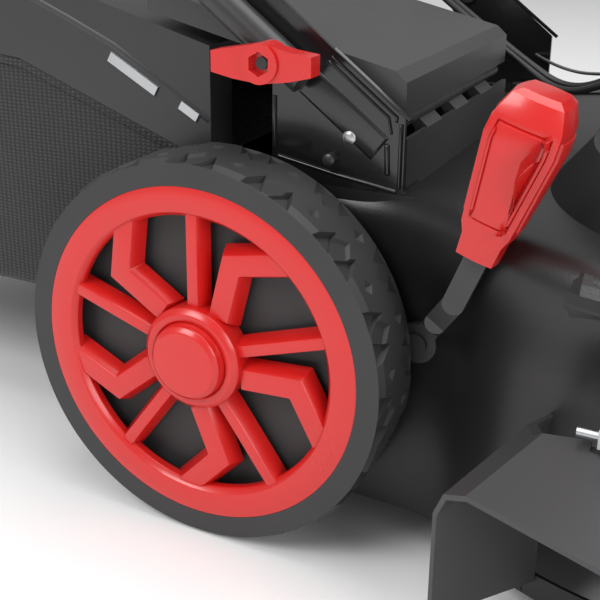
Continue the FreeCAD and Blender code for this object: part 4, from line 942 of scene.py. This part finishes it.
ROPE_BRAID = braided("braided_rope", 2.2)
GUIDE_EYE = (-216.9, 181.3, 552.2)
PULL = math.radians(54)
ROPE_EXIT = (264.2, 65.8, 470)
rope = route("starter_rope_run", [ROPE_EXIT, (200, 84, 475), (-20, 135, 505), (-170, 172, 520), (-206, 180, 538),
                                  GUIDE_EYE], 2.5, ROPE_BRAID)
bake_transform(rope)
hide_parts("starter_rope")
stub_end = (GUIDE_EYE[0] - 20 * math.cos(PULL), GUIDE_EYE[1], GUIDE_EYE[2] + 20 * math.sin(PULL))
stub_mid = tuple((a + b) / 2 for a, b in zip(GUIDE_EYE, stub_end))
stub = route("starter_rope_pull", [GUIDE_EYE, stub_mid, stub_end], 2.4, ROPE_BRAID)
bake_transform(stub)

UNDER = -16
HIGH = 191.9
JOINT = 632
cables = []
for shift, end, title in ((0, (255.8, 30, 330), "brake_cable"), (7, (248.6, 6, 322), "throttle_cable")):
    foot = on_handle(240, HIGH - shift, UNDER + 3)
    neck = on_handle(JOINT - 90, HIGH - shift, UNDER + 3)
    lower = [end, (206, 44 - 3 * shift, 298), (168, 56 - 3 * shift, 284), (128, 72 - 2 * shift, 302),
             (72, 100 - 2 * shift, 332), (4, 142 - 2 * shift, 366), on_handle(130, HIGH - 8 - 2 * shift, UNDER + 4), foot]
    engine_run = route(title + "_engine_run", lower, 3, CABLE_BLACK)
    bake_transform(engine_run)
    tube_run = route(title + "_tube_run", [foot, on_handle(JOINT - 250, HIGH - shift, UNDER + 3), neck], 3, CABLE_BLACK)
    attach(tube_run, "lower_handle")
    top = on_handle(JOINT + 110, 186 - shift, UNDER)
    handle_run = route(title + "_handle_run", [neck, top, on_handle(JOINT + 250 - 2 * shift, 186 - shift, UNDER)], 3,
                       CABLE_BLACK)
    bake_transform(handle_run)
    cables += [engine_run, tube_run, handle_run]
wire = route("brake_wire", [(108, 190, 288), (146, 142, 283), (200, 86, 294), (264.2, 43, 312)], 1.5, ZINC)
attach(wire, "deck")
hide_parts("control_cables")
print("cable stretches", len(cables))


# %% [markdown]
# ## Side chute ribs
# Under its top the chute has short stiffening ribs along the outlet edge, and fine joint lines on
# its roof. Here a helper for one such rib is defined and the chute's box is printed; no rib is placed.

# %% A helper for a rib under the outlet edge
def small_rib(name, x, y, z, tall):
    nothing_selected()
    bpy.ops.mesh.primitive_cube_add(size=1, location=at(x, y, z))
    rib = bpy.context.object
    rib.scale = (2.2 * MM, 9 * MM, tall * MM)
    rib = fresh(name)
    bpy.ops.object.mode_set(mode="EDIT")
    bottom_front = at(x, y - 4, z - tall / 2 + 1)
    pick(rib, "edges", lambda e: abs(middle(e).z - bottom_front.z) < 0.002 and middle(e).y > at(0, y + 3, 0).y)
    bpy.ops.mesh.bevel(offset=0.005, segments=2)
    bpy.ops.object.mode_set(mode="OBJECT")
    return rib


chute_low, chute_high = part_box("side_chute")
print("chute box", [round(v, 3) for v in chute_low], [round(v, 3) for v in chute_high])


# %% [markdown]
# ## Floor, light and camera
# The mower stands on a pale floor that fades into a pale backdrop. Three large soft lamps light it
# as a studio would: one high at the rear right, a broad one above, and a weak one from the front.

# %% Floor and backdrop
def plain_surface(name, colour):
    material = bpy.data.materials.new(name)
    material.use_nodes = True
    shader = material.node_tree.nodes["Principled BSDF"]
    shader.inputs["Base Color"].default_value = (*colour, 1)
    shader.inputs["Roughness"].default_value = 0.7
    return material


nothing_selected()
bpy.ops.mesh.primitive_plane_add(size=12, location=(0, 0, 0))
floor = fresh("studio_floor")
floor.data.materials.append(plain_surface("studio_floor", (0.86, 0.86, 0.86)))

world = bpy.data.worlds.new("studio")
world.use_nodes = True
bpy.context.scene.world = world
sky = world.node_tree.nodes["Background"]
path = world.node_tree.nodes.new("ShaderNodeLightPath")
seen = world.node_tree.nodes.new("ShaderNodeMath")
seen.operation = "MAXIMUM"
world.node_tree.links.new(path.outputs["Is Camera Ray"], seen.inputs[0])
world.node_tree.links.new(path.outputs["Is Transmission Ray"], seen.inputs[1])
level = world.node_tree.nodes.new("ShaderNodeMapRange")
level.inputs["To Min"].default_value = 0.42
level.inputs["To Max"].default_value = 1.0
world.node_tree.links.new(seen.outputs["Value"], level.inputs["Value"])
world.node_tree.links.new(level.outputs["Result"], sky.inputs["Strength"])
sky.inputs["Color"].default_value = (1, 1, 1, 1)


# %% Lamps
def soft_lamp(name, place, target, size, power):
    lamp = bpy.data.lights.new(name, "AREA")
    lamp.size = size
    lamp.energy = power
    holder = bpy.data.objects.new(name, lamp)
    bpy.context.collection.objects.link(holder)
    holder.location = place
    holder.rotation_euler = (Vector(target) - Vector(place)).to_track_quat("-Z", "Y").to_euler()


soft_lamp("key_lamp", (-1.2, -2.4, 2.6), (-0.2, 0, 0.3), 1.6, 70)
soft_lamp("top_lamp", (0.6, 0.2, 3.0), (0, 0, 0.3), 2.4, 60)
soft_lamp("side_lamp", (2.6, -1.6, 1.4), (0, -0.1, 0.3), 1.6, 40)

# %% [markdown]
# The camera looks down over the right rear wheel, close enough that the wheel fills half the frame.
# It is placed from that wheel's own box, so that it follows the part if its size changes.

# %% Camera
wheel_low, wheel_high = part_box("rear_right_wheel_tyre")
wheel_r = (wheel_high[2] - wheel_low[2]) / 2
wheel_face = Vector(((wheel_low[0] + wheel_high[0]) / 2, wheel_low[1], wheel_low[2] + wheel_r))
AZIMUTH, ELEVATION = math.radians(28.08), math.radians(19.0)
camera_data = bpy.data.cameras.new("camera")
camera = bpy.data.objects.new("camera", camera_data)
bpy.context.collection.objects.link(camera)
camera.location = wheel_face + Vector((0.3479, -0.5447, 0.3193))
camera.rotation_euler = (math.pi / 2 - ELEVATION, 0, AZIMUTH)
camera_data.lens = 62.38
camera_data.shift_x = 0.0567
camera_data.shift_y = -0.1272
camera_data.clip_start = 0.02
bpy.context.scene.camera = camera
bpy.context.scene.view_settings.view_transform = "Standard"
